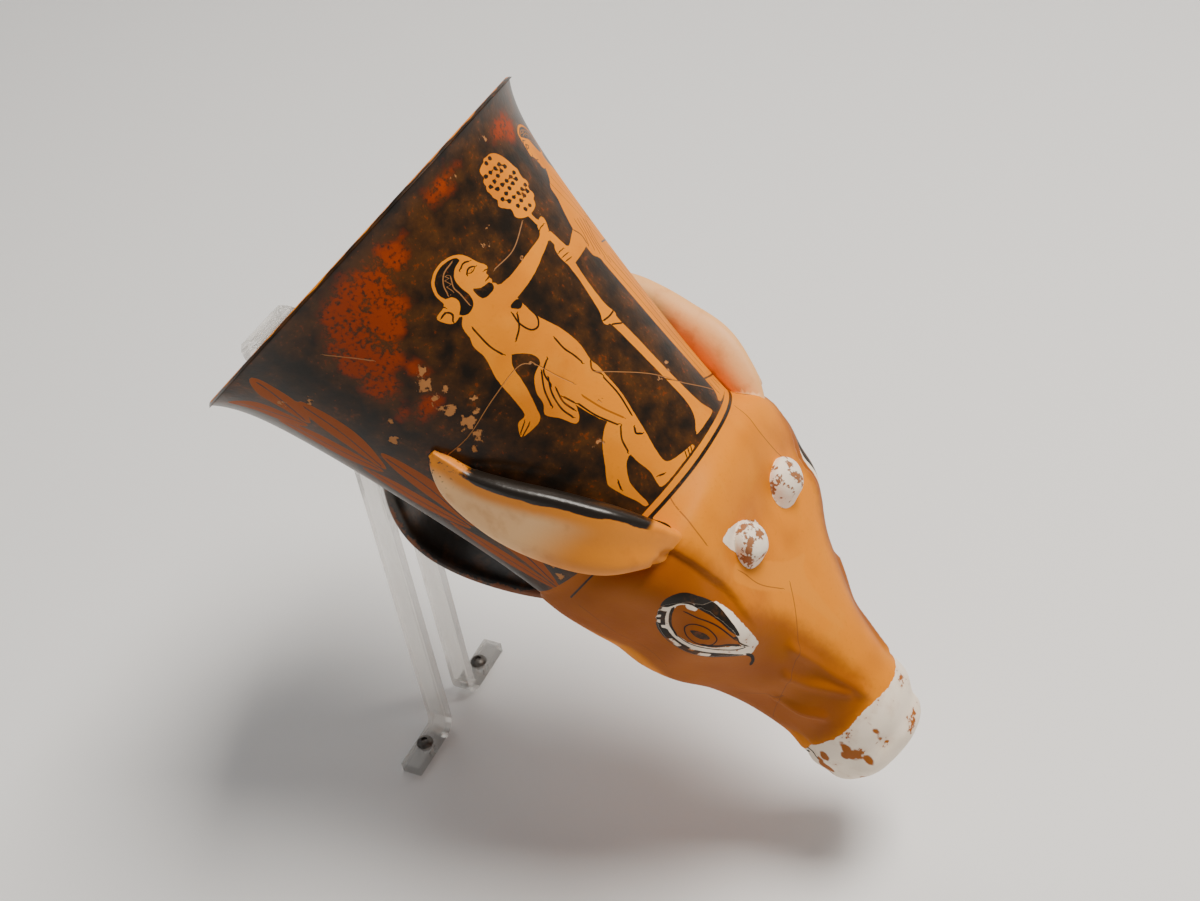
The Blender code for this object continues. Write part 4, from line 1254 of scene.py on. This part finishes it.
tree = bpy.data.node_groups.new("foot_screws", "GeometryNodeTree")
tree.interface.new_socket("Geometry", in_out="OUTPUT", socket_type="NodeSocketGeometry")
screw_inputs = {}
for label, kind, value in (
    ("Head radius", "NodeSocketFloat", head_radius),
    ("Head height", "NodeSocketFloat", head_height),
    ("Socket radius", "NodeSocketFloat", socket_radius),
    ("Shank radius", "NodeSocketFloat", shank_radius),
    ("Shank length", "NodeSocketFloat", seat_level - right_low.z),
    ("First screw", "NodeSocketVector", first_screw),
    ("To the second", "NodeSocketVector", second_screw - first_screw),
    ("Steel", "NodeSocketMaterial", steel),
):
    socket = tree.interface.new_socket(label, in_out="INPUT", socket_type=kind)
    screw_inputs[label] = (socket.identifier, value)
given = tree.nodes.new("NodeGroupInput")


def shape(kind, settings, sockets, output=0):
    """A node of the screws' tree: its settings, then a value or another node's output for sockets."""
    made = tree.nodes.new(kind)
    for setting, value in settings.items():
        setattr(made, setting, value)
    for socket, value in sockets.items():
        target = made.inputs[socket]
        if isinstance(value, bpy.types.NodeSocket):
            tree.links.new(value, target)
        else:
            target.default_value = value
    return made.outputs[output]


def of(label):
    return given.outputs[label]


ball = shape("GeometryNodeMeshUVSphere", {}, {"Segments": 40, "Rings": 20, "Radius": 1.0})
position = shape("GeometryNodeInputPosition", {}, {})
raised = shape("ShaderNodeVectorMath", {"operation": "MAXIMUM"}, {0: position, 1: (-1.0, -1.0, 0.0)})
dome = shape("GeometryNodeSetPosition", {}, {"Geometry": ball, "Position": raised})
dome = shape("GeometryNodeMergeByDistance", {}, {"Geometry": dome, "Distance": 1e-4})
head_sizes = {0: of("Head radius"), 1: of("Head radius"), 2: of("Head height")}
head_size = shape("ShaderNodeCombineXYZ", {}, head_sizes)
dome = shape("GeometryNodeTransform", {}, {"Geometry": dome, "Scale": head_size})
socket_sizes = {"Vertices": 6, "Radius": of("Socket radius"), "Depth": of("Head height")}
recess = shape("GeometryNodeMeshCylinder", {}, socket_sizes)
recess_up = shape("ShaderNodeCombineXYZ", {}, {2: of("Head height")})
recess = shape("GeometryNodeTransform", {}, {"Geometry": recess, "Translation": recess_up})
cut_head = shape("GeometryNodeMeshBoolean", {"operation": "DIFFERENCE"}, {0: dome, 1: recess})
shank_sizes = {"Vertices": 28, "Radius": of("Shank radius"), "Depth": of("Shank length")}
shank = shape("GeometryNodeMeshCylinder", {}, shank_sizes)

# The shank hangs from its middle and reaches a little into the head, so that the two join
half_down = shape("ShaderNodeMath", {"operation": "MULTIPLY"}, {0: of("Shank length"), 1: -0.495})
shank_place = shape("ShaderNodeCombineXYZ", {}, {2: half_down})
shank = shape("GeometryNodeTransform", {}, {"Geometry": shank, "Translation": shank_place})
joined_screw = shape("GeometryNodeMeshBoolean", {"operation": "UNION"}, {1: cut_head})
tree.links.new(shank, joined_screw.node.inputs[1])
line = shape("GeometryNodeMeshLine", {"mode": "OFFSET"},
             {"Count": 2, "Start Location": of("First screw"), "Offset": of("To the second")})
placed = shape("GeometryNodeInstanceOnPoints", {}, {"Points": line, "Instance": joined_screw})
real = shape("GeometryNodeRealizeInstances", {}, {"Geometry": placed})
finished = shape("GeometryNodeSetMaterial", {}, {"Geometry": real, "Material": of("Steel")})
result = tree.nodes.new("NodeGroupOutput")
tree.links.new(finished, result.inputs[0])

screws = bpy.data.objects.new("foot_screws", bpy.data.meshes.new("foot_screws"))
bpy.context.scene.collection.objects.link(screws)
maker = screws.modifiers.new("screws", "NODES")
maker.node_group = tree
for identifier, value in screw_inputs.values():
    maker[identifier] = value
graph = bpy.context.evaluated_depsgraph_get()
screw_mesh = bpy.data.meshes.new_from_object(screws.evaluated_get(graph))
screws.modifiers.clear()
screws.data = screw_mesh
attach(screws, "root")
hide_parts("screw_right", "screw_left")


# The floor and the wall behind it: plain pale board, two flat faces that meet in a straight edge.
# Neither is part of the object.
floor_grey = (0.93, 0.93, 0.93, 1)
floor_mesh = bpy.data.meshes.new("floor")
floor_mesh.from_pydata([(-3, -3, 0), (3, -3, 0), (3, 1.2, 0), (-3, 1.2, 0), (3, 1.2, 2.5), (-3, 1.2, 2.5)],
                       [], [(0, 1, 2, 3), (3, 2, 4, 5)])
floor = bpy.data.objects.new("floor", floor_mesh)
bpy.context.scene.collection.objects.link(floor)
pale = bpy.data.materials.new("pale_floor")
pale.use_nodes = True
board = pale.node_tree.nodes["Principled BSDF"]
board.inputs["Base Color"].default_value = floor_grey
board.inputs["Roughness"].default_value = 0.9
floor_mesh.materials.append(pale)


# The camera stands near and above the cup, at the photograph's viewing angle and a little tilted,
# and three soft lamps stand round it: a warm one from above, and two weak ones.
camera_place = rim_centre + np.array([0.268, -0.325, 0.266])
line_of_sight, tilt = (-0.4031, 0.6455, -0.6488), math.radians(-10.1)


def aim(position, forward, roll):
    """Places something that looks along its own -Z, turned about its line of sight."""
    turn = Vector(forward).to_track_quat("-Z", "Y").to_matrix() @ Matrix.Rotation(roll, 3, "Z")
    return Matrix.Translation(Vector(position)) @ turn.to_4x4()


camera_data = bpy.data.cameras.new("camera")
camera_data.sensor_width = 36
camera_data.lens = 53.7
camera_data.clip_start = 0.01
camera = bpy.data.objects.new("camera", camera_data)
camera.matrix_world = aim(camera_place, line_of_sight, tilt)
bpy.context.scene.collection.objects.link(camera)
bpy.context.scene.camera = camera

for name, place, size, power, colour in (
    ("key", (0.42, 0.16, 1.15), 0.45, 18, (1.0, 0.94, 0.86)),
    ("fill", (-0.7, -0.9, 0.9), 1.0, 0.7, (1.0, 0.96, 0.90)),
    ("back", (-0.5, 0.6, 1.2), 0.8, 2.5, (1.0, 0.97, 0.93)),
):
    lamp_data = bpy.data.lights.new(name, "AREA")
    lamp_data.size = size
    lamp_data.energy = power
    lamp_data.color = colour
    lamp = bpy.data.objects.new(name, lamp_data)
    lamp.matrix_world = aim(place, Vector(rim_centre) - Vector(place), 0)
    bpy.context.scene.collection.objects.link(lamp)
world = bpy.data.worlds.new("room")
world.use_nodes = True
sky = world.node_tree.nodes["Background"]
sky.inputs["Color"].default_value = (0.9, 0.92, 0.95, 1)
sky.inputs["Strength"].default_value = 0.17
bpy.context.scene.world = world
